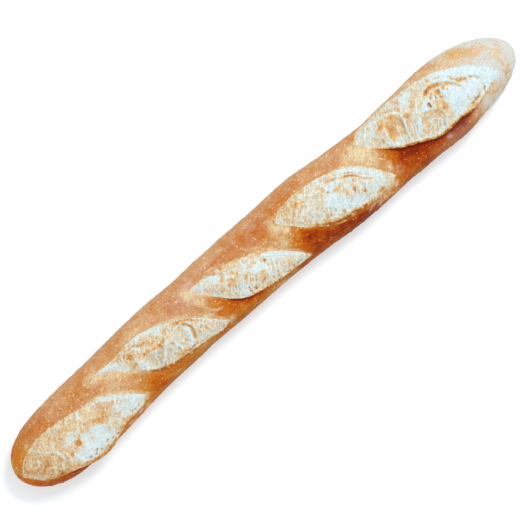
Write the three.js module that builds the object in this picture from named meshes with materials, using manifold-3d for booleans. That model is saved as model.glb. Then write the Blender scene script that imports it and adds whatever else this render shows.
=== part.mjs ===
// A hearth-baked baguette: one loaf, bowed a little to the side, flat underneath, with rounded
// ends and five slanting scores. In each score the crumb has bloomed up through the crust, and
// the crust's free edge along the low side has lifted into an ear that leans out over the flank.
//
// Millimetres. +X runs along the loaf towards its blunter, paler end, +Y across it to the side
// away from the ears, +Z up. The origin is the middle of the footprint, on the resting face.

import * as THREE from "three";
import { mergeVertices } from "three/addons/utils/BufferGeometryUtils.js";
import Module from "manifold-3d";

// ---- Loaf ----
const LENGTH = 561;
const HALF_WIDTH = 32.4; // of the plain section, between swells
const HEIGHT = 45; // of the crust's crown, without the bloom
const WAIST_Z = 19; // height of the widest line
const TOP_POWER = 2.15; // superellipse exponents of the section, above and below the waist
const BOTTOM_POWER = 3.4;
const FLAT_CUT = 1.06; // the lower half is this much too deep, and is cut flat at Z = 0
const TAPER_LEFT = 51; // length of the elliptical end at -X
const TAPER_RIGHT = 68; // and at +X
const KEEL_RISE = 26; // over this length at each end the underside curls up
const CROWN_EXPONENT = 0.9; // how fast the crown falls along a taper
const CROWN_FOLLOW = 0.7; // how much of a swell's relative size the crown rises by
const TIP_INSET = 0.35; // the tapers stop this short of a point

// Gentle swells and waists of the half-width: centre, spread, size.
const SWELLS = [
  { x: -200, spread: 30, size: 1.2 },
  { x: -76, spread: 18, size: -0.8 },
  { x: 68, spread: 38, size: 2.1 },
  { x: 138, spread: 14, size: -0.8 },
  { x: 206, spread: 28, size: 1.8 },
];

// The middle of the loaf is bowed towards +Y, between two soft bends.
const BOW = 5.8;
const BOW_BASE = -1.4;
const BOW_START = { x: -160, soft: 16 };
const BOW_END = { x: 75, soft: 14 };
const HEEL_TURN = { x: -245, spread: 30, size: -1.5 };
const NOSE_TURN = { x: 285, spread: 22, size: -2.2 };

// ---- Scores ----
// Each runs along a chord from `from` to `to` in plan. Either side of the chord it opens by
// bow * sin(PI * t ** skew) ** fullness. `ear` is the height of the lifted edge above the crust,
// `bloom` the swelling of the crumb between its edges, and `lean` how far the ear overhangs.
const SCORES = [
  {
    from: [-276.0, -5.2],
    to: [-148.9, -21.4],
    high: { bow: 23.95, skew: 0.853, fullness: 0.616 },
    low: { bow: 23.43, skew: 0.8, fullness: 1.05 },
    ear: 4.6,
    bloom: 2.6,
    lean: 2.6,
  },
  {
    from: [-177.9, 20.4],
    to: [-54.2, -21.4],
    high: { bow: 20.4, skew: 1.187, fullness: 0.978 },
    low: { bow: 16.5, skew: 1.228, fullness: 1.43 },
    ear: 4.4,
    bloom: 2.8,
    lean: 2.6,
  },
  {
    from: [-67.8, 21.3],
    to: [34.5, -25.6],
    high: { bow: 15.3, skew: 1.123, fullness: 0.84 },
    low: { bow: 17.0, skew: 0.984, fullness: 1.18 },
    ear: 5.0,
    bloom: 3.0,
    lean: 3.0,
  },
  {
    from: [26.0, 17.9],
    to: [132.6, -21.4],
    high: { bow: 21.85, skew: 1.061, fullness: 0.815 },
    low: { bow: 21.6, skew: 1.023, fullness: 0.924 },
    ear: 5.2,
    bloom: 3.0,
    lean: 3.0,
  },
  {
    from: [120.7, 20.4],
    to: [254.6, -12.8],
    high: { bow: 24.66, skew: 1.144, fullness: 0.588 },
    low: { bow: 26.3, skew: 1.088, fullness: 1.008 },
    ear: 5.8,
    bloom: 3.2,
    lean: 3.2,
  },
];
const EDGE_SINK = 0.8; // how far the crumb's high edge is tucked under the crust
const LIP_SINK = 1.4; // and the root of the ear
const CORE_DEPTH = 9; // the bloom reaches this far down into the loaf, where the two are one
const TIP_WIDTH = 1.1; // half-width left at a score's two tips

// ---- Mesh density ----
const STATIONS = 104; // along the loaf
const AROUND = 32; // around it
const SCORE_STEPS = 22; // along a score
const SCORE_ACROSS = 8; // across it

// ---- The plain loaf's section at any station ----
const bump = (x, b) => b.size * Math.exp(-(((x - b.x) / b.spread) ** 2));
const quarter = (d, length) =>
  d >= length ? 1 : Math.sqrt(Math.max(0, 1 - (1 - Math.max(d, 0) / length) ** 2));

function section(x) {
  const left = x + LENGTH / 2,
    right = LENGTH / 2 - x;
  const taper = quarter(left, TAPER_LEFT) * quarter(right, TAPER_RIGHT);
  const keel = quarter(left, KEEL_RISE) * quarter(right, KEEL_RISE);
  const swell = SWELLS.reduce((sum, b) => sum + bump(x, b), HALF_WIDTH);
  const bow =
    BOW /
    (1 + Math.exp(-(x - BOW_START.x) / BOW_START.soft)) /
    (1 + Math.exp((x - BOW_END.x) / BOW_END.soft));
  return {
    middle: BOW_BASE - 0.8 + bow + bump(x, HEEL_TURN) + bump(x, NOSE_TURN),
    half: swell * taper,
    up: (HEIGHT - WAIST_Z) * (swell / HALF_WIDTH) ** CROWN_FOLLOW * taper ** CROWN_EXPONENT,
    down: WAIST_Z * FLAT_CUT * keel,
  };
}

// A point of the section at angle a: 0 at the +Y waist, PI / 2 on the crown, PI at the -Y waist,
// 3 * PI / 2 underneath.
function around(x, a) {
  const s = section(x);
  const c = Math.cos(a),
    n = Math.sin(a);
  const power = 2 / (n >= 0 ? TOP_POWER : BOTTOM_POWER);
  const y = s.middle + s.half * Math.sign(c) * Math.abs(c) ** power;
  const z = WAIST_Z + (n >= 0 ? s.up : -s.down) * Math.abs(n) ** power;
  return [y, Math.max(z, 0)];
}

// The section's outward normal at angle a, in the YZ plane.
function outward(x, a) {
  const e = 1e-3;
  const [y0, z0] = around(x, a - e),
    [y1, z1] = around(x, a + e);
  const l = Math.hypot(z1 - z0, y1 - y0) || 1;
  return [(z1 - z0) / l, -(y1 - y0) / l];
}

// The angle at which a point `height` above the crust lies over plan position y.
function angleAt(x, y, height) {
  let low = 0.02,
    high = Math.PI - 0.02;
  for (let i = 0; i < 40; i++) {
    const a = (low + high) / 2;
    if (around(x, a)[0] + height * outward(x, a)[0] > y) low = a;
    else high = a;
  }
  return (low + high) / 2;
}

function above(x, y, height) {
  const a = angleAt(x, y, Math.max(height, 0));
  const [by, bz] = around(x, a),
    [ny, nz] = outward(x, a);
  return new THREE.Vector3(x, by + ny * height, bz + nz * height);
}

// Moves every vertex of a closed three.js geometry by a function of its own position.
function shaped(geometry, place) {
  const p = geometry.attributes.position;
  const v = new THREE.Vector3();
  for (let i = 0; i < p.count; i++) {
    v.fromBufferAttribute(p, i);
    p.setXYZ(i, ...place(v).toArray());
  }
  geometry.deleteAttribute("normal");
  geometry.deleteAttribute("uv");
  return mergeVertices(geometry, 1e-4);
}

// ---- The plain loaf: a sphere drawn out along X ----
function loafGeometry() {
  const ball = new THREE.SphereGeometry(1, AROUND, STATIONS);
  ball.rotateZ(-Math.PI / 2); // its poles now lie on X
  const reach = LENGTH / 2 - TIP_INSET;
  return shaped(ball, (v) => {
    // Even stations along the middle, closing up over the round ends.
    const t = Math.acos(THREE.MathUtils.clamp(-v.x, -1, 1)) / Math.PI; // 0 to 1 along the loaf
    const eased = t - (0.82 / (2 * Math.PI)) * Math.sin(2 * Math.PI * t) * edgePull(t);
    const x = THREE.MathUtils.clamp((eased * 2 - 1) * (LENGTH / 2), -reach, reach);
    if (t < 1e-6 || t > 1 - 1e-6) {
      const s = section(x);
      return new THREE.Vector3(Math.sign(x) * (LENGTH / 2), s.middle, WAIST_Z);
    }
    const a = Math.atan2(v.z, v.y);
    const [y, z] = around(x, a);
    return new THREE.Vector3(x, y, z);
  });
}

// Stations crowd together only near the two ends.
function edgePull(t) {
  const d = Math.min(t, 1 - t);
  return Math.exp(-((d / 0.16) ** 2));
}

// ---- One score's bloom: a box folded into a lens, with its +V wall tucked under the ear ----
function bloomGeometry(score) {
  const from = new THREE.Vector2(...score.from),
    to = new THREE.Vector2(...score.to);
  const along = to.clone().sub(from);
  const across = new THREE.Vector2(-along.y, along.x).normalize();
  const opening = (side, u) =>
    TIP_WIDTH + side.bow * Math.sin(Math.PI * u ** side.skew) ** side.fullness;
  const plan = (u, v, inward = 0) => {
    const high = opening(score.high, u),
      low = opening(score.low, u) - inward;
    return from
      .clone()
      .addScaledVector(along, u)
      .addScaledVector(across, high * (1 - v) - low * v);
  };
  const box = new THREE.BoxGeometry(1, 1, 1, SCORE_STEPS, SCORE_ACROSS, 2);
  return shaped(box, (p) => {
    const u = 0.5 - 0.5 * Math.cos(Math.PI * (p.x + 0.5) * 0.98 + 0.0314);
    const v = 1 - (0.5 + p.y) ** 1.35; // rows crowd together towards the ear
    const w = p.z + 0.5; // 0 in the core, 1 on the open crumb
    const ends = Math.sin(Math.PI * u) ** 0.7;
    const rise =
      -EDGE_SINK * (1 - v) ** 6 +
      ends * (score.bloom * Math.sin(Math.PI * v) ** 0.8 + score.ear * v ** 2.2) -
      0.9 * (1 - ends);
    const flat = (q) => [q.x, q.y];
    const top = () => above(...flat(plan(u, v)), rise);
    const core = () => above(...flat(plan(u, v, score.lean * v)), -CORE_DEPTH * ends - 2);
    if (w > 0.75) return top();
    if (w < 0.25) return core();
    // The middle row of the walls: the ear's root on one side, the tucked edge on the other.
    const sink = -(LIP_SINK * v + 3 * (1 - v)) - 0.6 * (1 - ends);
    return above(...flat(plan(u, v, (score.lean + 1) * v * ends)), sink);
  });
}

// ---- Joining ----
const wasm = await Module();
wasm.setup();

const solid = (geometry) =>
  new wasm.Manifold(
    new wasm.Mesh({
      numProp: 3,
      vertProperties: geometry.attributes.position.array,
      triVerts: new Uint32Array(geometry.index.array),
    }),
  );

function geometryOf(manifold) {
  const mesh = manifold.getMesh();
  const position = new Float32Array(mesh.numVert * 3);
  for (let i = 0; i < mesh.numVert; i++)
    position.set(mesh.vertProperties.subarray(i * mesh.numProp, i * mesh.numProp + 3), i * 3);
  const geometry = new THREE.BufferGeometry();
  geometry.setAttribute("position", new THREE.BufferAttribute(position, 3));
  geometry.setIndex(new THREE.BufferAttribute(new Uint32Array(mesh.triVerts), 1));
  return geometry;
}

const loaf = SCORES.reduce(
  (whole, score) => whole.add(solid(bloomGeometry(score))),
  solid(loafGeometry()),
);
const geometry = geometryOf(loaf);

// The footprint's middle goes to the origin.
geometry.computeBoundingBox();
const middle = geometry.boundingBox.getCenter(new THREE.Vector3());
geometry.translate(-middle.x, -middle.y, -geometry.boundingBox.min.z);
geometry.computeVertexNormals();

const crust = new THREE.MeshStandardMaterial({ color: 0xc98a4b, roughness: 0.72, metalness: 0 });
const baguette = new THREE.Mesh(geometry, crust);
baguette.name = "baguette";

const group = new THREE.Group();
group.name = "baguette_group";
group.add(baguette);

export default group;
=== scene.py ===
"""The looks of a hearth-baked baguette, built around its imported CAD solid.

The loaf is one closed body of crust. Each of its five scores is a closed bloom of crumb that swells out of
the body and ends, along its low side, in a ragged ear. Their relief is worked out in millimetres from named
features and seeded noise, and what each point is made of goes to the materials as attributes.
"""

import math

import bpy
import numpy as np
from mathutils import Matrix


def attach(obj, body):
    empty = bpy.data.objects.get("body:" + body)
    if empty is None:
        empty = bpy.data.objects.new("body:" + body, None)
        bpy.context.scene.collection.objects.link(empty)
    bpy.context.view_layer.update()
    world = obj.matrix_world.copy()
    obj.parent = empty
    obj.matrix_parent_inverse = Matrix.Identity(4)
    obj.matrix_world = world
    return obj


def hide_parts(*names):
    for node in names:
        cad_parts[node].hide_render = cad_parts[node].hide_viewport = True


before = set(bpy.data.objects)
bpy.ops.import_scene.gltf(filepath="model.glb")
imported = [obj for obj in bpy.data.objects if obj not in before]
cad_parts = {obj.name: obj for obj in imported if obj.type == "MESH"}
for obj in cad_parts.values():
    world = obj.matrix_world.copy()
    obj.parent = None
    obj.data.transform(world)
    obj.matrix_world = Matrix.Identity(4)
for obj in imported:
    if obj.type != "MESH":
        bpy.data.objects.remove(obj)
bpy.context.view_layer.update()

MM = 0.001

# ---------------------------------------------------------------------------------------------------------
# The plain loaf, in millimetres, with the same sizes as the CAD solid
# ---------------------------------------------------------------------------------------------------------
LENGTH, HALF_WIDTH, HEIGHT, WAIST = 561.0, 32.4, 45.0, 19.0
TOP_POWER, BOTTOM_POWER, FLAT_CUT = 2.15, 3.4, 1.06
TAPER_LEFT, TAPER_RIGHT, KEEL_RISE = 51.0, 68.0, 26.0
CROWN_EXPONENT, CROWN_FOLLOW = 0.9, 0.7
SWELLS = [(-200, 30, 1.2), (-76, 18, -0.8), (68, 38, 2.1), (138, 14, -0.8), (206, 28, 1.8)]
BOW, BOW_BASE, BOW_START, BOW_END = 5.8, -2.14, (-160, 16), (75, 14)
HEEL_TURN, NOSE_TURN = (-245, 30, -1.5), (285, 22, -2.2)

# Places on the loaf are given in steps of UNIT along it and across it, from a point ZERO along X.
UNIT, ZERO = 0.853, -14.07


def smooth(low, high, value):
    t = np.clip((value - low) / (high - low), 0, 1)
    return t * t * (3 - 2 * t)


def hump(x, b):
    return b[2] * np.exp(-(((x - b[0]) / b[1]) ** 2))


def quarter(d, length):
    e = 1 - np.clip(d, 0, length) / length
    return np.sqrt(np.maximum(0, 1 - e * e))


def section(x):
    """(middle, half-width, rise above the waist, drop below it) of the loaf at x."""
    left, right = x + LENGTH / 2, LENGTH / 2 - x
    taper = quarter(left, TAPER_LEFT) * quarter(right, TAPER_RIGHT)
    keel = quarter(left, KEEL_RISE) * quarter(right, KEEL_RISE)
    swell = HALF_WIDTH + sum(hump(x, b) for b in SWELLS)
    bow = BOW / (1 + np.exp(-(x - BOW_START[0]) / BOW_START[1])) / (1 + np.exp((x - BOW_END[0]) / BOW_END[1]))
    middle = BOW_BASE + bow + hump(x, HEEL_TURN) + hump(x, NOSE_TURN)
    up = (HEIGHT - WAIST) * (swell / HALF_WIDTH) ** CROWN_FOLLOW * taper**CROWN_EXPONENT
    return middle, swell * taper, up, WAIST * FLAT_CUT * keel


def around(sec, a):
    """(y, z) at angle a: 0 at the +Y waist, pi / 2 on the crown, pi at the -Y waist."""
    middle, half, up, down = sec
    c, n = np.cos(a), np.sin(a)
    power = np.where(n >= 0, 2 / TOP_POWER, 2 / BOTTOM_POWER)
    y = middle + half * np.sign(c) * np.abs(c) ** power
    z = WAIST + np.where(n >= 0, up, -down) * np.abs(n) ** power
    return y, np.maximum(z, 0)


def outward(sec, a):
    y0, z0 = around(sec, a - 1e-3)
    y1, z1 = around(sec, a + 1e-3)
    long = np.hypot(y1 - y0, z1 - z0)
    long = np.where(long < 1e-12, 1, long)
    return (z1 - z0) / long, -(y1 - y0) / long


def angle_at(sec, y, height):
    """The angle at which a point that stands `height` over the crust lies over y."""
    low, high = np.full_like(y, 0.02), np.full_like(y, math.pi - 0.02)
    for _ in range(30):
        a = (low + high) / 2
        left = around(sec, a)[0] + height * outward(sec, a)[0] > y
        low, high = np.where(left, a, low), np.where(left, high, a)
    return (low + high) / 2


def above(x, y, height):
    """Points that stand `height` over the crust, over the plan places (x, y), and their angles."""
    sec = section(x)
    a = angle_at(sec, y, np.maximum(height, 0))
    by, bz = around(sec, a)
    ny, nz = outward(sec, a)
    return np.stack([x, by + ny * height, bz + nz * height], -1), a


# ---------------------------------------------------------------------------------------------------------
# Noise, the same on every run
# ---------------------------------------------------------------------------------------------------------
U = np.uint32
EDGES = np.array(
    [
        (1, 1, 0), (-1, 1, 0), (1, -1, 0), (-1, -1, 0), (1, 0, 1), (-1, 0, 1), (1, 0, -1), (-1, 0, -1),
        (0, 1, 1), (0, -1, 1), (0, 1, -1), (0, -1, -1), (1, 1, 0), (-1, 1, 0), (0, -1, 1), (0, -1, -1),
    ],
    np.float32,
)  # fmt: skip


def scatter(i, j, k, seed):
    h = i.astype(U) * U(374761393) + j.astype(U) * U(668265263) + k.astype(U) * U(3266489917)
    h = h + U((seed * 2654435761 + 97) & 0xFFFFFFFF)
    for shift, by in ((15, 2246822519), (13, 3266489917)):
        h = (h ^ (h >> U(shift))) * U(by)
    return h ^ (h >> U(16))


def perlin(x, y, z, seed=0):
    """Gradient noise, about -1 to 1."""
    x, y, z = np.broadcast_arrays(x, y, z)
    i, j, k = (np.floor(v).astype(np.int64) for v in (x, y, z))
    fx, fy, fz = (v - f for v, f in ((x, i), (y, j), (z, k)))
    wx, wy, wz = (f * f * f * (f * (f * 6 - 15) + 10) for f in (fx, fy, fz))
    total = np.zeros(x.shape)
    for a in (0, 1):
        for b in (0, 1):
            for c in (0, 1):
                g = EDGES[scatter(i + a, j + b, k + c, seed) & U(15)]
                dot = g[..., 0] * (fx - a) + g[..., 1] * (fy - b) + g[..., 2] * (fz - c)
                w = (wx if a else 1 - wx) * (wy if b else 1 - wy) * (wz if c else 1 - wz)
                total += w * dot
    return total * 1.4


def fractal(x, y, z, size, octaves=3, seed=0, gain=0.5):
    total, weight, reach = 0.0, 0.0, 1.0
    for o in range(octaves):
        s = size / 2.07**o
        total = total + reach * perlin(x / s + 17.3 * o, y / s - 5.1 * o, z / s + 3.7 * o, seed + 31 * o)
        weight += reach
        reach *= gain
    return total / weight


def cells(p, q, seed=0, jitter=0.9):
    """Distance to the nearest and second nearest of one random point in each unit cell, and the nearest's number, 0 to 1."""
    p, q = np.broadcast_arrays(p, q)
    i, j = np.floor(p).astype(np.int64), np.floor(q).astype(np.int64)
    near, next_, number = np.full(p.shape, 9.0), np.full(p.shape, 9.0), np.zeros(p.shape)
    zero = np.zeros_like(i)
    for a in (-1, 0, 1):
        for b in (-1, 0, 1):
            h = scatter(i + a, j + b, zero, seed)
            px = i + a + 0.5 + jitter * ((h & U(1023)) / 1023.0 - 0.5)
            py = j + b + 0.5 + jitter * (((h >> U(10)) & U(1023)) / 1023.0 - 0.5)
            d = np.hypot(px - p, py - q)
            closer = d < near
            next_ = np.where(closer, near, np.minimum(next_, d))
            number = np.where(closer, ((h >> U(20)) & U(1023)) / 1023.0, number)
            near = np.where(closer, d, near)
    return near, next_, number


# ---------------------------------------------------------------------------------------------------------
# Lines and marks on the loaf, in its own steps: s along it, t across it
# ---------------------------------------------------------------------------------------------------------
def curve(points, count=None, step=0.6):
    """A smooth line through the points, evenly spaced along its length."""
    p = np.array(points, float)
    ends = np.vstack([2 * p[0] - p[1], p, 2 * p[-1] - p[-2]])
    t = np.linspace(0, 1, 14, endpoint=False)[:, None]
    out = []
    for k in range(len(p) - 1):
        a, b, c, d = ends[k : k + 4]
        out.append(0.5 * (2 * b + (c - a) * t + (2 * a - 5 * b + 4 * c - d) * t**2 + (3 * b - 3 * c + d - a) * t**3))
    line = np.vstack([*out, p[-1:]])
    run = np.r_[0, np.cumsum(np.hypot(*np.diff(line, axis=0).T))]
    count = count or max(2, int(run[-1] / step) + 1)
    at = np.linspace(0, run[-1], count)
    return np.stack([np.interp(at, run, line[:, 0]), np.interp(at, run, line[:, 1])], 1)


def to_line(s, t, line, reach=1e9):
    """Signed distance to a line, positive on its left as it runs, and how far along it the nearest place is, 0 to 1."""
    shape = s.shape
    s, t = s.ravel(), t.ravel()
    best, where = np.full(s.shape, 1e9), np.zeros(s.shape)
    low, high = line.min(0) - reach, line.max(0) + reach
    pick = np.nonzero((s > low[0]) & (s < high[0]) & (t > low[1]) & (t < high[1]))[0]
    ps, pt = s[pick], t[pick]
    found, along = np.full(ps.shape, 1e9), np.zeros(ps.shape)
    n = len(line) - 1
    for k in range(n):
        (x0, y0), (x1, y1) = line[k], line[k + 1]
        dx, dy = x1 - x0, y1 - y0
        l2 = dx * dx + dy * dy
        if l2 < 1e-12:
            continue
        u = np.clip(((ps - x0) * dx + (pt - y0) * dy) / l2, 0, 1)
        ex, ey = ps - x0 - u * dx, pt - y0 - u * dy
        d = np.hypot(ex, ey)
        side = np.where(dx * ey - dy * ex >= 0, 1.0, -1.0)
        closer = d < np.abs(found)
        found, along = np.where(closer, d * side, found), np.where(closer, (k + u) / n, along)
    best[pick], where[pick] = found, along
    return best.reshape(shape), where.reshape(shape)


def spot(s, t, at, size, deg=0.0, edge=0.5):
    """An ellipse that is 1 inside and fades over the last `edge` of its size."""
    r = radius(s, t, at, size, deg)
    return 1 - smooth(1 - edge, 1 + edge, r)


def radius(s, t, at, size, deg=0.0):
    c, n = math.cos(math.radians(deg)), math.sin(math.radians(deg))
    ds, dt = s - at[0], t - at[1]
    return np.hypot((ds * c + dt * n) / size[0], (dt * c - ds * n) / size[1])


def glow(s, t, at, size, deg=0.0):
    return np.exp(-(radius(s, t, at, size, deg) ** 2))


# ---------------------------------------------------------------------------------------------------------
# The five scores: their high edge, where crumb meets crust, and their low edge, the rim of the ear
# ---------------------------------------------------------------------------------------------------------
SCORES = {
    "a": {
        "high": [(-306.5, -7), (-303, -2), (-298, 2.5), (-290, 7), (-281, 10.6), (-270, 12.6), (-257, 13), (-245, 12.2), (-232, 9.8), (-218, 7.2), (-205, 5.2), (-195, 3.2), (-187, -0.8), (-179, -6), (-171, -12.8), (-165, -19), (-158.5, -26.5)],
        "low": [(-306.5, -7), (-303.5, -11.5), (-299, -16.5), (-293, -22.5), (-286, -27.5), (-278, -31), (-269, -34), (-259, -37), (-251, -40.2), (-243, -43), (-234, -44.6), (-225, -44.6), (-215, -42.6), (-206, -39), (-197, -36.2), (-188, -34.2), (-178, -33.3), (-168, -31.5), (-158.5, -26.5)],
        "ear": 3.6, "rises": (0.12, 0.36), "bloom": 2.6, "lean": 0.9, "ribs": 62, "spread": 40, "burnt_shade_and_light": [(0, -0.12), (0.1, -0.22), (0.2, -0.24), (0.28, -0.08), (0.36, 0.36), (0.45, 0.35), (0.55, 0.06), (0.75, -0.04), (0.88, -0.14), (0.96, -0.24), (1, -0.1)],
        "rim": [(0, 0), (0.5, 0.05), (0.65, 0.3), (0.8, 0.65), (1, 0.5)],
        "scorch": [(0, 0), (0.25, 0.1), (0.36, 0.6), (0.5, 0.3), (1, 0)],
        "apron": [(0, 0.22), (0.06, 0.24), (0.12, 0.34), (0.22, 0.40), (0.34, 0.42), (0.45, 0.30), (0.6, 0.22), (0.78, 0.08), (0.9, 0.0), (1, 0)],
    },
    "b": {
        "high": [(-190, 22.5), (-181, 22.6), (-171, 22.2), (-161, 22), (-152, 23), (-143, 24.8), (-134, 25), (-124, 23.6), (-113, 20.7), (-102, 16.6), (-91, 11.8), (-82, 6.8), (-75, 1.6), (-68, -5), (-61, -12), (-54, -19), (-47, -26)],
        "low": [(-190, 22.5), (-183, 19.6), (-175, 15.6), (-166, 10.6), (-158, 4.2), (-151, -3), (-144, -9.6), (-136, -15.6), (-127, -20.2), (-116, -22.8), (-104, -24.6), (-92, -25.7), (-80, -26.8), (-69, -27.4), (-58, -28.4), (-47, -26)],
        "ear": 1.2, "rises": (0.28, 0.60), "bloom": 2.6, "lean": 0.6, "ribs": 54, "spread": 90, "burnt_shade_and_light": [(0, 0), (0.15, -0.28), (0.28, -0.42), (0.4, -0.3), (0.5, -0.08), (0.58, 0.02), (0.65, -0.2), (0.73, -0.42), (0.84, -0.28), (0.94, 0.04), (1, 0)],
        "rim": [(0, 0.3), (0.2, 0.2), (0.35, 0.1), (0.5, 0.4), (0.65, 0.7), (0.8, 0.1), (0.92, 0.6), (1, 0.3)],
        "scorch": [(0, 0), (0.3, 0.15), (0.5, 0.2), (0.8, 0.1), (1, 0)],
        "apron": [(0, 0), (0.2, 0.0), (0.30, 0.08), (0.40, 0.26), (0.5, 0.24), (0.65, 0.24), (0.8, 0.22), (0.92, 0.27), (1, 0.18)],
    },
    "c": {
        "high": [(-62, 23.5), (-54, 24), (-44, 23.6), (-34, 22.3), (-24, 21.4), (-14, 19.3), (-4, 16), (6, 12.4), (15, 7.6), (24, 1.8), (33, -5), (41, -12), (48, -19), (53, -25), (57.5, -31)],
        "low": [(-62, 23.5), (-57, 17.6), (-51, 10.6), (-45, 3.8), (-39, -3.6), (-32, -11), (-24, -17.4), (-15, -22), (-5, -24.4), (6, -27), (17, -28.8), (29, -29.8), (40, -30.2), (50, -30.8), (57.5, -31)],
        "ear": 1.8, "rises": (0.20, 0.45), "bloom": 2.8, "lean": 0.8, "ribs": 56, "spread": 34, "burnt_shade_and_light": [(0, -0.34), (0.1, -0.5), (0.18, -0.42), (0.25, -0.16), (0.38, 0.62), (0.48, 0.46), (0.58, 0.08), (0.72, 0), (0.85, -0.1), (0.94, -0.02), (1, 0)],
        "rim": [(0, 0.2), (0.1, 0.15), (0.3, 0), (0.6, 0), (0.8, 0.5), (1, 0.2)],
        "scorch": [(0, 0), (0.2, 0.2), (0.35, 1.1), (0.5, 0.7), (0.7, 0.1), (1, 0)],
        "apron": [(0, 0), (0.08, 0.0), (0.15, 0.12), (0.26, 0.34), (0.36, 0.34), (0.46, 0.31), (0.62, 0.20), (0.78, 0.05), (0.9, 0.42), (1, 0.30)],
    },
    "d": {
        "high": [(50, 17), (55, 21.5), (63, 24.6), (74, 25.8), (86, 25.6), (98, 24.3), (109, 23), (119, 20.6), (129, 17), (138, 12.4), (147, 6.8), (154, -0.4), (160, -8), (165, -15), (169, -21.5), (171.5, -27)],
        "low": [(50, 17), (52, 11.6), (56.5, 7.4), (61, 3), (66, -2.7), (72, -8), (79, -13.4), (86, -19.2), (93, -24), (102, -27.4), (112, -29.4), (123, -30.2), (134, -31.2), (145, -32), (156, -30), (164, -28.8), (171.5, -27)],
        "ear": 1.4, "rises": (0.16, 0.46), "bloom": 2.8, "lean": 0.8, "ribs": 50, "spread": 60, "burnt_shade_and_light": [(0, 0), (0.14, -0.06), (0.25, -0.6), (0.36, -0.34), (0.45, -0.24), (0.56, -0.2), (0.68, -0.66), (0.8, -0.3), (0.9, -0.4), (0.96, -0.6), (1, -0.2)],
        "rim": [(0, 0), (0.3, 0), (0.5, 0.1), (0.65, 0.7), (0.8, 0.2), (1, 0.2)],
        "scorch": [(0, 0), (0.2, 0.2), (0.35, 0.5), (0.55, 0.5), (0.7, 0), (1, 0)],
        "apron": [(0, 0), (0.08, 0.02), (0.15, 0.25), (0.25, 0.56), (0.42, 0.44), (0.54, 0.53), (0.68, 0.59), (0.80, 0.46), (0.9, 0.14), (1, 0.02)],
    },
    "e": {
        "high": [(158, 23), (164, 28), (172, 31.4), (184, 33.2), (198, 33.8), (212, 33.6), (226, 32.8), (240, 31.4), (252, 29.8), (263, 27), (273, 23), (283, 17.6), (292, 12), (301, 5.4), (309, -2), (315, -10), (317, -18.5)],
        "low": [(158, 23), (163, 18.6), (168, 12.6), (174, 6.2), (181, 0), (188, -6), (196, -11.2), (205, -15.6), (214, -19.8), (222, -23.8), (230, -27.2), (240, -28), (251, -27.6), (259, -26.9), (268, -28.8), (277, -28.9), (286, -26.6), (296, -22.6), (306, -19.6), (317, -18.5)],
        "ear": 3.0, "rises": (0.10, 0.34), "bloom": 3.0, "lean": 1.0, "ribs": 60, "spread": 50, "burnt_shade_and_light": [(0, -0.12), (0.08, -0.04), (0.14, 0.12), (0.24, 0.42), (0.4, 0.34), (0.52, 0.26), (0.6, 0.60), (0.7, 1.0), (0.8, 0.6), (0.9, 0), (1, 0)],
        "rim": [(0, 0), (0.1, 0.25), (0.35, 0.35), (0.5, 0.35), (0.7, 0.2), (1, 0)],
        "scorch": [(0, 0), (0.12, 0.3), (0.2, 0.9), (0.7, 0.9), (0.85, 0.3), (1, 0)],
        "apron": [(0, 0), (0.12, 0.02), (0.18, 0.2), (0.26, 0.52), (0.40, 0.54), (0.51, 0.43), (0.66, 0.51), (0.78, 0.08), (1, 0)],
    },
}  # fmt: skip
for one in SCORES.values():
    one["high_line"], one["low_line"] = curve(one["high"]), curve(one["low"])


def places(x, y):
    return (x - ZERO) / UNIT, y / UNIT


def wobble(s, t):
    """How far the border between crumb and crust strays, in millimetres."""
    return 0.7 * fractal(s, t, np.zeros_like(s), 9, 2, 91) + 0.3 * fractal(s, t, np.zeros_like(s), 3.0, 2, 92)


def blurred(s, t):
    """How many times wider than usual the border between crumb and crust is."""
    return 1 + 9 * smooth(282, 306, s) + 3 * glow(s, t, (186, 33), (34, 9)) + 2 * glow(s, t, (86, 26), (22, 6)) + 2 * glow(s, t, (-304, -6), (8, 10))


def ragged(s, t, seed, size=1.0, reach=1.0):
    """Shifts places a little, so that no mark has a clean outline."""
    return (
        s + reach * fractal(s, t, np.zeros_like(s), 9 * size, 3, seed),
        t + reach * fractal(s, t, np.zeros_like(s), 9 * size, 3, seed + 5),
    )


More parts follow.
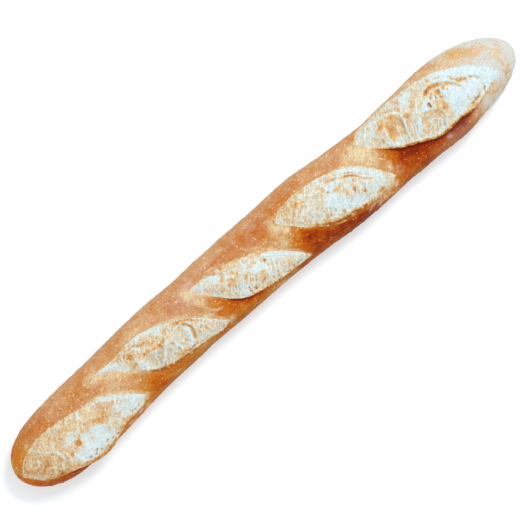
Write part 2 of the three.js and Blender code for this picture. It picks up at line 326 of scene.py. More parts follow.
# ---------------------------------------------------------------------------------------------------------
# Crust
# ---------------------------------------------------------------------------------------------------------
def crust(p, a, s, t):
    """Relief in millimetres and the fields of the crust at points p, whose section angles are a."""
    x, y, z = p[..., 0], p[..., 1], p[..., 2]
    deg = np.degrees(np.mod(a + math.pi / 2, 2 * math.pi) - math.pi / 2)  # -90 underneath, 0, 90 crown, 180, 270
    ws, wt = ragged(s, t, 3, 1.4, 1.6)
    under = 1 - smooth(0.5, 9, z)

    broad = fractal(x, y, z, 46, 2, 11)
    middling = fractal(x, y, z, 15, 3, 12)
    fine = fractal(x, y, z, 5.0, 2, 13)
    pores = fractal(x, y, z, 2.4, 2, 17)
    relief = 0.55 * broad + 0.30 * middling + 0.12 * fine + 0.07 * pores

    # Blisters: small domes, sparse, of several sizes.
    girth = np.radians(deg) * 31.0
    for size, share, tall, seed in ((3.4, 0.34, 0.22, 21), (6.5, 0.16, 0.34, 22)):
        d, _, number = cells(x / size, girth / size, seed)
        relief = relief + tall * (number < share) * (1 - smooth(0.10, 0.42, d)) * (1 - under)

    patchy = 0.03 * broad + 0.09 * middling + 0.08 * fine + 0.06 * pores
    bake = 0.44 + patchy
    flank = 0.27 * smooth(105, 150, deg) + 0.09 * smooth(182, 210, deg)
    bake = bake + 0.05 * smooth(45, -5, deg) * (deg < 90)
    bake = bake + 0.08 * smooth(-272, -304, s) * (1 - under)
    red = 0.25 + 0.35 * fractal(x, y, z, 60, 2, 14) + 0.45 * fractal(x, y, z, 13, 3, 19)
    red = red - 4.6 * smooth(-276, -303, s) - 0.7 * smooth(105, 140, deg)
    # Painted shade: the low flank towards its silhouette, darkened and cooled in colour.
    painted_flank_shade = smooth(138, 172, deg) * smooth(194, 178, deg) * smooth(-170, -125, s) * smooth(300, 278, s) * (0.8 + 0.4 * middling)
    flour = 0.36 * smooth(36, 4, deg) * smooth(-0.8, 0.2, middling + 0.8 * fine) + 0.20 * smooth(162, 180, deg) * smooth(202, 184, deg) * smooth(-0.7, 0.6, 0.7 * middling + fine + pores)
    flour = flour * (1 - smooth(-240, -280, s)) + 0.20 * glow(ws, wt, (250, -38), (26, 6))

    # Streaks where the low side stretched along the loaf.
    streaks = fractal(s / 7, girth / UNIT, np.zeros_like(s), 2.6, 2, 23)
    bake = bake + 0.13 * streaks * smooth(128, 150, deg) * smooth(215, 190, deg)

    # Darker and redder patches, and paler ones.
    for at, size, deeper, redder in (
        ((-263, 28), (22, 7), 0.14, 0.5), ((-285, 20), (14, 8), 0.07, 0.2), ((-205, 12), (26, 9), 0.06, 0.3),
        ((-153, 31), (12, 7), 0.12, 0.3), ((-92, 32), (16, 5), 0.05, 0.4), ((-78, 17), (18, 12), -0.05, 1.5),
        ((-62, 33), (10, 8), 0.0, 0.5), ((-20, 26), (26, 6), 0.05, 0.5), ((2, 18), (20, 7), 0.05, 0.6),
        ((33, 25), (15, 9), 0.15, 1.9), ((1, 31), (14, 7), 0.17, 0.4), ((80, 35), (15, 5), 0.09, 0.3), ((130, 30), (13, 6), -0.06, 0.2), ((-130, 27), (40, 6), -0.05, 0.0), ((-40, 30), (18, 6), -0.04, 0.6), ((-65, 24), (14, 5), -0.06, 0.6), ((84, -30), (20, 6), 0.10, 0.0), ((-142, -27), (10, 7), 0.11, 0.0), ((150, 0), (9, 9), -0.05, 0.0), ((-160, -7), (8, 13), -0.08, -0.2), ((166, -10), (8, 8), -0.06, 0.0), ((-22, 34), (34, 5), -0.05, 0.2), ((54, 25), (5, 7), 0.15, -0.4), ((52, 38), (6, 4), 0.07, 0.0),
        ((78, 31), (18, 4), 0.06, 0.4), ((126, 25), (18, 7), 0.03, 0.8), ((-30, 36), (40, 6), -0.03, -0.2),
        ((-120, 33), (14, 7), -0.07, -0.2), ((100, 33), (24, 6), -0.03, -0.1), ((-225, 22), (20, 6), -0.02, 0.0),
        ((262, 33), (16, 4), 0.09, 0.2), ((307, 26), (7, 3), 0.12, 0.5), ((172, 29), (12, 5), 0.06, 0.2),
        ((-300, 5), (8, 12), 0.10, -0.3), ((12, -32), (15, 4), -0.10, 0.0), ((-4, -29), (8, 4), 0.06, 0.0), ((-172, -1), (5, 5), 0.07, 0.2), ((-272, 19), (24, 8), 0.07, 0.3),
        ((-238, 19), (20, 8), 0.07, 0.3), ((66, 29), (15, 7), 0.09, 0.3), ((-10, 27), (60, 7), 0.02, 0.2), ((50, 30), (70, 12), -0.05, 0.1), ((-174, 4), (14, 14), -0.08, 0.0), ((-5, 31), (50, 7), -0.035, 0.0), ((207, -33), (10, 6), 0.03, -0.2),
        ((-243, 27), (16, 7), -0.15, 0.2), ((-200, 26), (14, 8), 0.10, 0.1),
    ):  # fmt: skip
        g = glow(ws, wt, at, size)
        bake, red = bake + deeper * g, red + redder * g

    # Pale skin about the scores' tips and on the bridges between them.
    halo = np.zeros_like(bake)
    wisps = perlin((s * 0.78 + t * 0.62) / 9, (t * 0.78 - s * 0.62) / 2.2, np.zeros_like(s), 18) + 0.5 * perlin((s * 0.78 + t * 0.62) / 4, (t * 0.78 - s * 0.62) / 1.1, np.zeros_like(s), 19)
    for at, size, deg_, much in (
        ((-190, 20), (10, 7), -20, 0.7), ((-176, 13), (18, 6), -35, 0.8), ((-174, 3), (13, 12), 0, 0.38),
        ((-176, -14), (14, 7), -40, 0.35), ((-63, 20), (6, 10), 20, 1.0), ((-58, 9), (6, 8), 40, 0.7),
        ((-61, -4), (12, 7), -50, 0.35), ((-168, -6), (12, 9), -50, 0.2), ((48, 14), (8, 9), 0, 0.9), ((53, 5), (5, 4), 0, 1.0), ((44, -2), (9, 10), -50, 0.46),
        ((152, 17), (12, 9), 0, 0.95), ((160, 12), (10, 10), 0, 1.35), ((161, 0), (9, 13), -60, 0.6), ((158, 22), (6, 4), 0, 1.0),
        ((-161, -26), (3.5, 6), 0, 0.55), ((-46, -25), (6, 4), 0, 0.5), ((176, -24), (9, 8), 0, 0.32), ((168, -31), (7, 4), 0, 0.2), ((172, -16), (4, 7), -30, 0.6), ((-172, -35), (10, 3), 0, 0.45), ((-190, -37), (9, 3), 0, 0.3), ((-70, 1), (4, 3), -40, -0.4), ((110, 27), (14, 3.5), -10, 0.3), ((-28, 24), (16, 3), -12, 0.35), ((162, -32), (9, 3.4), -10, 0.95), ((150, -35), (26, 5), 0, 0.45), ((18, -33.5), (12, 3), 0, 0.3),
        ((-184, 2), (22, 4), -38, 0.3), ((-88, 13), (26, 3.5), -32, 0.35), ((-62, -8), (9, 5), -45, 0.8), ((22, 6), (26, 3.5), -40, 0.4),
        ((146, 12), (24, 5), -45, 0.35), ((268, 27), (20, 4), -25, 0.75), ((244, 33), (16, 3), -8, 0.6), ((-132, 28), (20, 3.5), 0, 0.4), ((280, 31), (10, 3), -12, 0.8),
    ):  # fmt: skip
        halo = np.maximum(halo, much * glow(ws, wt, at, size, deg_))
    halo = halo * (1 + 0.60 * wisps + 0.75 * fine + 0.3 * middling) * smooth(202, 178, deg) * smooth(-24, 2, deg)

    # The pale, floury end.
    end = smooth(262, 300, ws + 0.22 * wt + 14 * smooth(-18, -32, wt))
    bake = bake - 0.20 * end * (0.8 + 0.2 * middling)
    gold = 0.8 * glow(ws, wt, (292, 28), (11, 6), -30) + 0.35 * glow(ws, wt, (306, 19), (10, 7), -30) + 0.15 * glow(ws, wt, (292, -31), (16, 5), 20)
    end = end * (1 - gold)
    bake, red = bake + 0.08 * gold, red - 1.6 * gold
    halo = np.maximum(halo, end * (0.55 + 0.40 * middling + 0.3 * fine))
    flour = flour + end * (0.57 + 0.70 * middling + 0.45 * fine + 0.35 * smooth(322, 342, s) + 0.30 * smooth(40, 12, deg))
    red = red + 0.15 * end
    for at, size, deg_, much in (
        ((314, -12), (6, 13), 10, 1.0), ((304, -2), (9, 10), -40, 0.7), ((334, 14), (6, 12), 55, 0.7), ((338, 0), (5, 8), 0, 0.5),
        ((333, -22), (12, 4), 50, 0.45), ((319, 10), (10, 8), 0, 0.3), ((302, -29), (10, 5), 0, 0.25),
    ):  # fmt: skip
        flour = flour + much * glow(ws, wt, at, size, deg_)

    relief = relief + 1.0 * glow(s, t, (286, 38), (20, 10)) - 1.6 * glow(s, t, (280, -40), (15, 9))

    # Creases of the nose, running round it.
    nose = smooth(310, 326, s) * smooth(0, 4, z)
    wave = np.sin((np.hypot((s - 300) * 1.0, (t + 6) * 1.25) + 1.6 * fractal(x, y, z, 8, 2, 15)) * 2 * math.pi / 4.3)
    cut = smooth(0.35, 0.95, wave) * smooth(-0.15, 0.3, fractal(x, y, z, 10, 2, 16))
    relief = relief - 0.8 * nose * cut
    bake, red = bake + 0.16 * nose * cut, red + 0.8 * nose * cut
    flour, halo = flour * (1 - 0.8 * nose * cut), halo * (1 - 0.7 * nose * cut)

    # Along each score: a crease under the ear, a faint dark rim along the high edge, and the bed of the bloom.
    edge, bed, crease, apron, burnt_shade_and_light, scorch, rims = np.full(bake.shape, -60.0), *(np.zeros_like(bake) for _ in range(6))
    for one in SCORES.values():
        dh, uh = to_line(s, t, one["high_line"], 40)
        dl, ul = to_line(s, t, one["low_line"], 40)
        dh, dl = -dh * UNIT, dl * UNIT  # both positive on the crumb's side
        full = smooth(0.14, 0.45, ul) * smooth(1.0, 0.86, ul)
        inside = np.where((np.abs(dh) < 60) & (np.abs(dl) < 60), np.minimum(dh, dl - 1.6 * full), -60.0)  # brown under the ear
        inside = inside / blurred(s, t)
        edge = np.maximum(edge, inside)
        bed = np.maximum(bed, 4.6 * smooth(0.9, 3.6, dh) * smooth(one["lean"] + 1.0, one["lean"] + 4.0, dl) * (dh < 60) * (dl < 60))
        below = (np.abs(dl) < 60) * smooth(-2.5, 0.5, np.where(dl < 0, 9, dh))
        crease = np.maximum(crease, full * below * np.exp(np.minimum(dl, 0) / 3.0))
        dl = np.where((deg > 165) & (dl < 60), np.minimum(dl, -0.5), dl)  # the flank is all outside
        wide = np.interp(ul, *zip(*one["apron"]))
        # A narrow band along each ear's low edge: where its table is positive, crust baked darker and painted shade
        # under the ear; where negative, painted light that lifts the ear's own shadow.
        line = np.interp(ul, *zip(*one["burnt_shade_and_light"]))
        near = (dl < 0.5) * (np.abs(dl) < 60) * np.exp(np.minimum(dl, 0) / 1.5) * smooth(194, 174, deg)
        burnt_shade_and_light, scorch = burnt_shade_and_light + line * near, scorch + np.interp(ul, *zip(*one["scorch"])) * near
        apron = np.maximum(apron, wide * (np.abs(dl) < 60) * (dl < 0) * np.exp(np.minimum(dl, 0) / one["spread"]))
        rims = np.maximum(rims, np.interp(uh, *zip(*one["rim"])) * np.exp(-((np.minimum(dh + 0.6, 0) / 2.2) ** 2)) * (dh > -60) * (dh < 1.5))
    cover = smooth(-8, 2, deg) * smooth(176, 166, deg)  # a score ends where the loaf turns under
    edge = edge * cover - 60 * (1 - cover)
    relief = relief - bed * smooth(-8, 2, deg) * smooth(190, 180, deg) - 0.4 * crease * smooth(172, 140, deg)
    bake = bake - 0.55 * patchy * np.clip(apron / 0.35, 0, 1)
    apron = apron * (1 + 0.08 * fine)
    bake = bake + np.maximum(flank * (1 - smooth(0.1, 0.3, apron)), apron) + burnt_shade_and_light
    red = red - 3.6 * apron + 4.0 * scorch

    halo = np.maximum(halo, rims * (1 + 0.4 * fine))

    # A fold in the crust beside the third score, and a few pale scars.
    fold, _ = to_line(s, t, curve([(-59, 2), (-56, -4), (-51, -9), (-46, -11)]), 12)
    relief = relief + 0.5 * np.exp(-((fold / 1.8) ** 2))
    halo = np.maximum(halo, 0.55 * np.exp(-((fold / 1.6) ** 2)))
    bulge = glow(s, t, (-172, 1), (11, 12))
    relief = relief + 0.9 * bulge
    for at, size, deg_ in (((238, -33), (3.4, 2.2), 0), ((-88.5, -32.5), (1.2, 1), 0), ((174, -7), (1.2, 1), 0), ((57, 33), (1.6, 1.1), 30), ((-84, 21), (1.2, 1), 0)):
        flour = flour + 0.55 * glow(s, t, at, size, deg_) * smooth(170, 155, deg)

    # The underside: flat where it lay, with shallow pits, browned in blotches and dusted.
    pits, _, number = cells(x / 7.0, y / 7.0, 41)
    hearth = -0.35 * (number < 0.5) * (1 - smooth(0.1, 0.5, pits)) + 0.12 * np.minimum(middling, 0)
    relief = np.where(under > 0, relief * (1 - under) + np.minimum(hearth, 0) * under, relief)
    bake = bake * (1 - under) + under * (0.66 + 0.14 * middling + 0.08 * fine)
    flour = flour * (1 - under) + under * 0.35 * smooth(-0.1, 0.6, fractal(x, y, z, 24, 3, 42))
    halo = halo * (1 - under)
    edge = edge + wobble(s, t) / blurred(s, t) ** 0.5
    tip = smooth(0, 9, LENGTH / 2 - np.abs(x))
    return relief * tip, {"bake": bake, "red": red, "flour": np.clip(flour, 0, 1), "halo": halo, "edge": edge, "painted_flank_shade": np.clip(painted_flank_shade, 0, 1) * (1 - 0.5 * under)}


# ---------------------------------------------------------------------------------------------------------
# Meshes
# ---------------------------------------------------------------------------------------------------------
def make_mesh(name, points, loops, fields, uv):
    """loops is a list of arrays of faces, each (count, 3) or (count, 4). uv gives a place for each corner of each face."""
    points = np.ascontiguousarray(points.reshape(-1, 3) * MM, np.float32)
    volume = 0.0
    for f in loops:
        c = points[f]
        for k in range(1, f.shape[1] - 1):
            volume += np.einsum("ij,ij->", c[:, 0], np.cross(c[:, k], c[:, k + 1]).astype(float))
    if volume < 0:
        loops, uv = [f[:, ::-1] for f in loops], [w[:, ::-1] for w in uv]
    corners = np.concatenate([f.ravel() for f in loops]).astype(np.int32)
    total = np.concatenate([np.full(len(f), f.shape[1]) for f in loops]).astype(np.int32)
    start = np.r_[0, np.cumsum(total)[:-1]].astype(np.int32)
    me = bpy.data.meshes.new(name)
    me.vertices.add(len(points))
    me.vertices.foreach_set("co", points.ravel())
    me.loops.add(len(corners))
    me.loops.foreach_set("vertex_index", corners)
    me.polygons.add(len(total))
    me.polygons.foreach_set("loop_start", start)
    me.polygons.foreach_set("loop_total", total)
    me.update(calc_edges=True)
    me.validate()
    me.polygons.foreach_set("use_smooth", np.ones(len(total), bool))
    for key, value in fields.items():
        at = me.attributes.new(key, "FLOAT", "POINT")
        at.data.foreach_set("value", np.ascontiguousarray(value.ravel(), np.float32))
    layer = me.uv_layers.new(name="OFBake")
    flat = np.concatenate([w.reshape(-1, 2) for w in uv])
    layer.data.foreach_set("uv", np.ascontiguousarray(flat.ravel(), np.float32))
    me.update()
    ob = bpy.data.objects.new(name, me)
    bpy.context.scene.collection.objects.link(ob)
    return ob


def quads(rows, columns, closed):
    """Faces of a grid of points, row by row, closed up across its columns if asked."""
    i = np.arange(rows - 1)[:, None]
    j = np.arange(columns if closed else columns - 1)[None, :]
    k = (j + 1) % columns
    a, b, c, d = i * columns + j, i * columns + k, (i + 1) * columns + k, (i + 1) * columns + j
    return np.stack(np.broadcast_arrays(a, b, c, d), -1).reshape(-1, 4)


def crust_body():
    stations, girth = ((640, 148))
    fine = -LENGTH / 2 * np.cos(np.linspace(0, math.pi, 20001))
    fine = np.clip(fine, -LENGTH / 2 + 0.35, LENGTH / 2 - 0.35)
    sec = section(fine)
    run = np.r_[0, np.cumsum(np.sqrt(np.diff(fine) ** 2 + np.diff(sec[1]) ** 2 + 0.4 * np.diff(sec[2]) ** 2))]
    x = np.interp(np.linspace(0, run[-1], stations), run, fine)
    turn = np.linspace(-math.pi / 2, 1.5 * math.pi, 6001)
    y, z = around(section(np.zeros(1)), turn)
    weigh = np.where(np.sin(turn[1:]) > -0.3, 1.0, 0.5)
    run = np.r_[0, np.cumsum(np.hypot(np.diff(y), np.diff(z)) * weigh)]
    a = np.interp(np.linspace(0, run[-1], girth + 1)[:-1], run, turn)
    X, A = np.meshgrid(x, a, indexing="ij")
    sec = tuple(v[:, None] for v in section(x))
    Y, Z = around(sec, A)
    P = np.stack([X, Y, Z], -1)
    along = np.gradient(P, axis=0)
    across = np.roll(P, -1, 1) - np.roll(P, 1, 1)
    N = np.cross(along, across)
    N /= np.maximum(np.linalg.norm(N, axis=-1, keepdims=True), 1e-9)
    if (N[stations // 2, girth // 2] * (0, 0, 1)).sum() < 0:
        N = -N
    s, t = places(X, Y)
    relief, fields = crust(P, A, s, t)
    P = P + N * relief[..., None]
    P[..., 2] = np.maximum(P[..., 2], 0)
    rind, hollow_shade = np.zeros_like(relief), np.zeros_like(relief)
    toast = 0.42 + 0.25 * fractal(s, t, rind, 5.2, 3, 106, 0.75)  # of the crumb just inside the scores' borders
    pale = 0.3 * smooth(-250, -150, s) * smooth(-0.2, 0.4, fractal(s, t, rind, 8, 3, 108, 0.7))
    tip = smooth(284, 300, s)
    toast, pale = toast * (1 - 0.8 * tip), pale + 0.8 * tip
    fields = {**fields, "rind": rind, "toast": toast, "pale": pale, "along": s * UNIT, "across": t * UNIT, "hollow_shade": hollow_shade, "painted_light": hollow_shade}

    # Poles close the two ends.
    n = stations * girth
    ends = np.array([P[0].mean(0) - (0.3, 0, 0), P[-1].mean(0) + (0.3, 0, 0)])
    points = np.vstack([P.reshape(-1, 3), ends])
    fields = {k: np.r_[v.ravel(), v[0].mean(), v[-1].mean()] for k, v in fields.items()}
    j = np.arange(girth)
    k = (j + 1) % girth
    first = np.stack([np.full(girth, n), k, j], -1)
    base = (stations - 1) * girth
    last = np.stack([np.full(girth, n + 1), base + j, base + k], -1)
    faces = quads(stations, girth, True)

    # The bake's map: two rows, each half of the loaf, from one side of the underside round to the other.
    half = stations // 2
    rows = np.arange(stations)
    v0 = np.arange(girth + 1) / girth

    def place(i, j, upper):
        u = np.where(upper, i - half, i) / (stations - half)
        return np.stack([0.004 + 0.99 * u, np.where(upper, 0.505, 0.005) + 0.49 * v0[j]], -1)

    fi = faces // girth
    fj = faces % girth
    wrap = (fj.max(1) == girth - 1) & (fj.min(1) == 0)
    fj = np.where(wrap[:, None] & (fj == 0), girth, fj)
    upper = (fi.min(1) >= half)[:, None]
    uv = place(fi, fj, np.broadcast_to(upper, fi.shape))
    jj = np.stack([j, j + 1, j], -1)
    cap0 = place(np.zeros_like(jj), jj, False)
    cap0[:, 0, 0] -= 0.003
    cap0 = cap0[:, [0, 1, 2]]
    cap1 = place(np.full_like(jj, stations - 1), np.stack([j, j, j + 1], -1), True)
    cap1[:, 0, 0] += 0.003
    return make_mesh("crust", points, [faces, first, last], fields, [uv, cap0, cap1])


def bloom(key):
    one = SCORES[key]
    steps = 300
    high, low = curve(one["high"], steps), curve(one["low"], steps)
    u = np.linspace(0, 1, steps)
    chord = np.array(one["high"][-1]) - np.array(one["high"][0])
    side = np.array([-chord[1], chord[0]]) / np.hypot(*chord)
    ends = np.sin(math.pi * np.clip(u, 0, 1)) ** 0.55
    ends[0] = ends[-1] = 0.0

    # Down the open crumb, from a strip tucked on to the crust to the rim of the ear.
    across = 92
    v = np.linspace(0, 1, across)
    v = v + 0.10 * np.sin(2 * math.pi * v) / (2 * math.pi) * -1
    skirt = np.array([-2.6, -1.7, -0.9])  # millimetres beyond the high edge
    S = high[:, None, 0] * (1 - v) + low[:, None, 0] * v
    T = high[:, None, 1] * (1 - v) + low[:, None, 1] * v
    tear = fractal(low[:, 0], low[:, 1], np.zeros(steps), 9.0, 4, 60 + ord(key), 0.62)
    nick = smooth(0.25, 0.6, fractal(low[:, 0], low[:, 1], np.zeros(steps), 5.0, 3, 80 + ord(key)))
    jag = (0.7 * tear - 0.6 * nick) * ends  # steps of UNIT, outwards
    S = S - side[0] * jag[:, None] * v**6
    T = T - side[1] * jag[:, None] * v**6
    Ss = high[:, None, 0] + side[0] * -skirt[None, :] / UNIT * ends[:, None]
    Ts = high[:, None, 1] + side[1] * -skirt[None, :] / UNIT * ends[:, None]
    S, T = np.hstack([Ss, S]), np.hstack([Ts, T])
    V = np.broadcast_to(np.r_[skirt * 0.0, v], S.shape)
    E = ends[:, None]

    X, Y = S * UNIT + ZERO, T * UNIT
    P0, A = above(X, Y, np.zeros_like(X))
    fields = crust(P0, A, S, T)[1]
    into = to_line(S, T, one["high_line"], 60)[0] * -UNIT
    relief, made = crumb(key, S, T, V, into, u[:, None])
    swell = np.where(V < 0.5, np.sin(math.pi * np.clip(V, 0, 0.5)) ** 0.9, np.cos(math.pi * (V - 0.5)) ** 2)
    stand = (smooth(*one["rises"], u) * smooth(1.0, 0.84, u))[:, None]  # how far the ear stands up along its length
    rise = E * one["bloom"] * swell + stand * one["ear"] * V**2.4
    rise = rise * (0.92 + 0.16 * fractal(S, T, np.zeros_like(S), 30, 2, 7))
    skin = crust_skin(P0)
    on = np.r_[-0.7, 0.02, 0.12, np.full(across, 0.10)]
    height = skin + on + np.where(V > 0, rise + relief * smooth(0, 1.6, into) * smooth(0, 0.10, E), 0.0) - 0.9 * (1 - E)
    top = above(X, Y, height)[0]

    # Round the rim, back under the ear, and down into the loaf.
    rim = height[:, -1]
    thin = 0.75 * ends + 0.1
    lean = one["lean"] * ends
    marks = [np.zeros_like(top[..., 0])]
    tail = []
    for inward, drop, mark in ((-0.06, 0.25, 1), (0.02, 0.6, 1), (0.40, 1.0, 1), (1.2, 1.7, 1), (2.0, 2.8, 1), (2.7, 4.2, 1)):
        inn = inward * (0.35 + 0.65 * lean / 2.7) if inward > 0 else inward
        x = (low[:, 0] - side[0] * jag + side[0] * inn / UNIT * ends) * UNIT + ZERO
        y = (low[:, 1] - side[1] * jag + side[1] * inn / UNIT * ends) * UNIT
        deep = rim - (thin * drop if drop < 1.1 else thin * 1.05 + (drop - 1.05) / 3.15 * (np.maximum(rim, 0) + 1.6))
        q, _ = above(x, y, deep)
        tail.append(q)
        marks.append(np.full((steps, 1), float(mark)))
    for vv, deep in ((0.86, -7.0), (0.5, -8.5), (0.12, -6.5)):
        x = (high[:, 0] * (1 - vv) + low[:, 0] * vv) * UNIT + ZERO
        y = (high[:, 1] * (1 - vv) + low[:, 1] * vv) * UNIT
        q, _ = above(x, y, deep * (0.25 + 0.75 * ends))
        tail.append(q)
        marks.append(np.full((steps, 1), 1.0))
    ring = np.concatenate([top, np.stack(tail, 1)], 1)
    mark = np.hstack([marks[0], *marks[1:]])
    more = ring.shape[1] - top.shape[1]

    def grow(value):
        return np.hstack([value, np.repeat(value[:, -1:], more, 1)])

    fields = {k: grow(w) for k, w in {**fields, **made}.items()}
    fields["edge"] = grow(into / blurred(S, T) + wobble(S, T) / blurred(S, T) ** 0.5)
    fields["rind"] = mark
    fields["along"], fields["across"] = grow(S * UNIT), grow(T * UNIT)
    around_ = ring.shape[1]
    n = steps * around_
    caps = np.array([ring[0].mean(0), ring[-1].mean(0)])
    points = np.vstack([ring.reshape(-1, 3), caps])
    fields = {k: np.r_[w.ravel(), w[0].mean(), w[-1].mean()] for k, w in fields.items()}
    faces = quads(steps, around_, True)
    j = np.arange(around_)
    k = (j + 1) % around_
    first = np.stack([np.full(around_, n), k, j], -1)
    base = (steps - 1) * around_
    last = np.stack([np.full(around_, n + 1), base + j, base + k], -1)

    # The bake's map: the crumb and rim take nearly all of it, what is buried a sliver.
    seen = top.shape[1] + 6
    w = np.r_[np.linspace(0, 0.97, seen), np.linspace(0.975, 0.993, around_ - seen), 0.996]

    def place(i, j):
        return np.stack([0.004 + 0.992 * i / (steps - 1), 0.002 + 0.996 * w[j]], -1)

    fi, fj = faces // around_, faces % around_
    wrap = (fj.max(1) == around_ - 1) & (fj.min(1) == 0)
    fj = np.where(wrap[:, None] & (fj == 0), around_, fj)
    uv = place(fi, fj)
    cap0 = place(np.zeros((around_, 3), int), np.stack([j, j + 1, j], -1))
    cap1 = place(np.full((around_, 3), steps - 1), np.stack([j, j, j + 1], -1))
    cap0[:, 0, 0] -= 0.003
    cap1[:, 0, 0] += 0.003
    return make_mesh("crumb_" + key, points, [faces, first, last], fields, [uv, cap0, cap1])


def crust_skin(p):
    """The crust's own unevenness, which the crumb beside it shares."""
    x, y, z = p[..., 0], p[..., 1], p[..., 2]
    return 0.55 * fractal(x, y, z, 46, 2, 11) + 0.30 * fractal(x, y, z, 15, 3, 12) + 0.12 * fractal(x, y, z, 5.0, 2, 13)
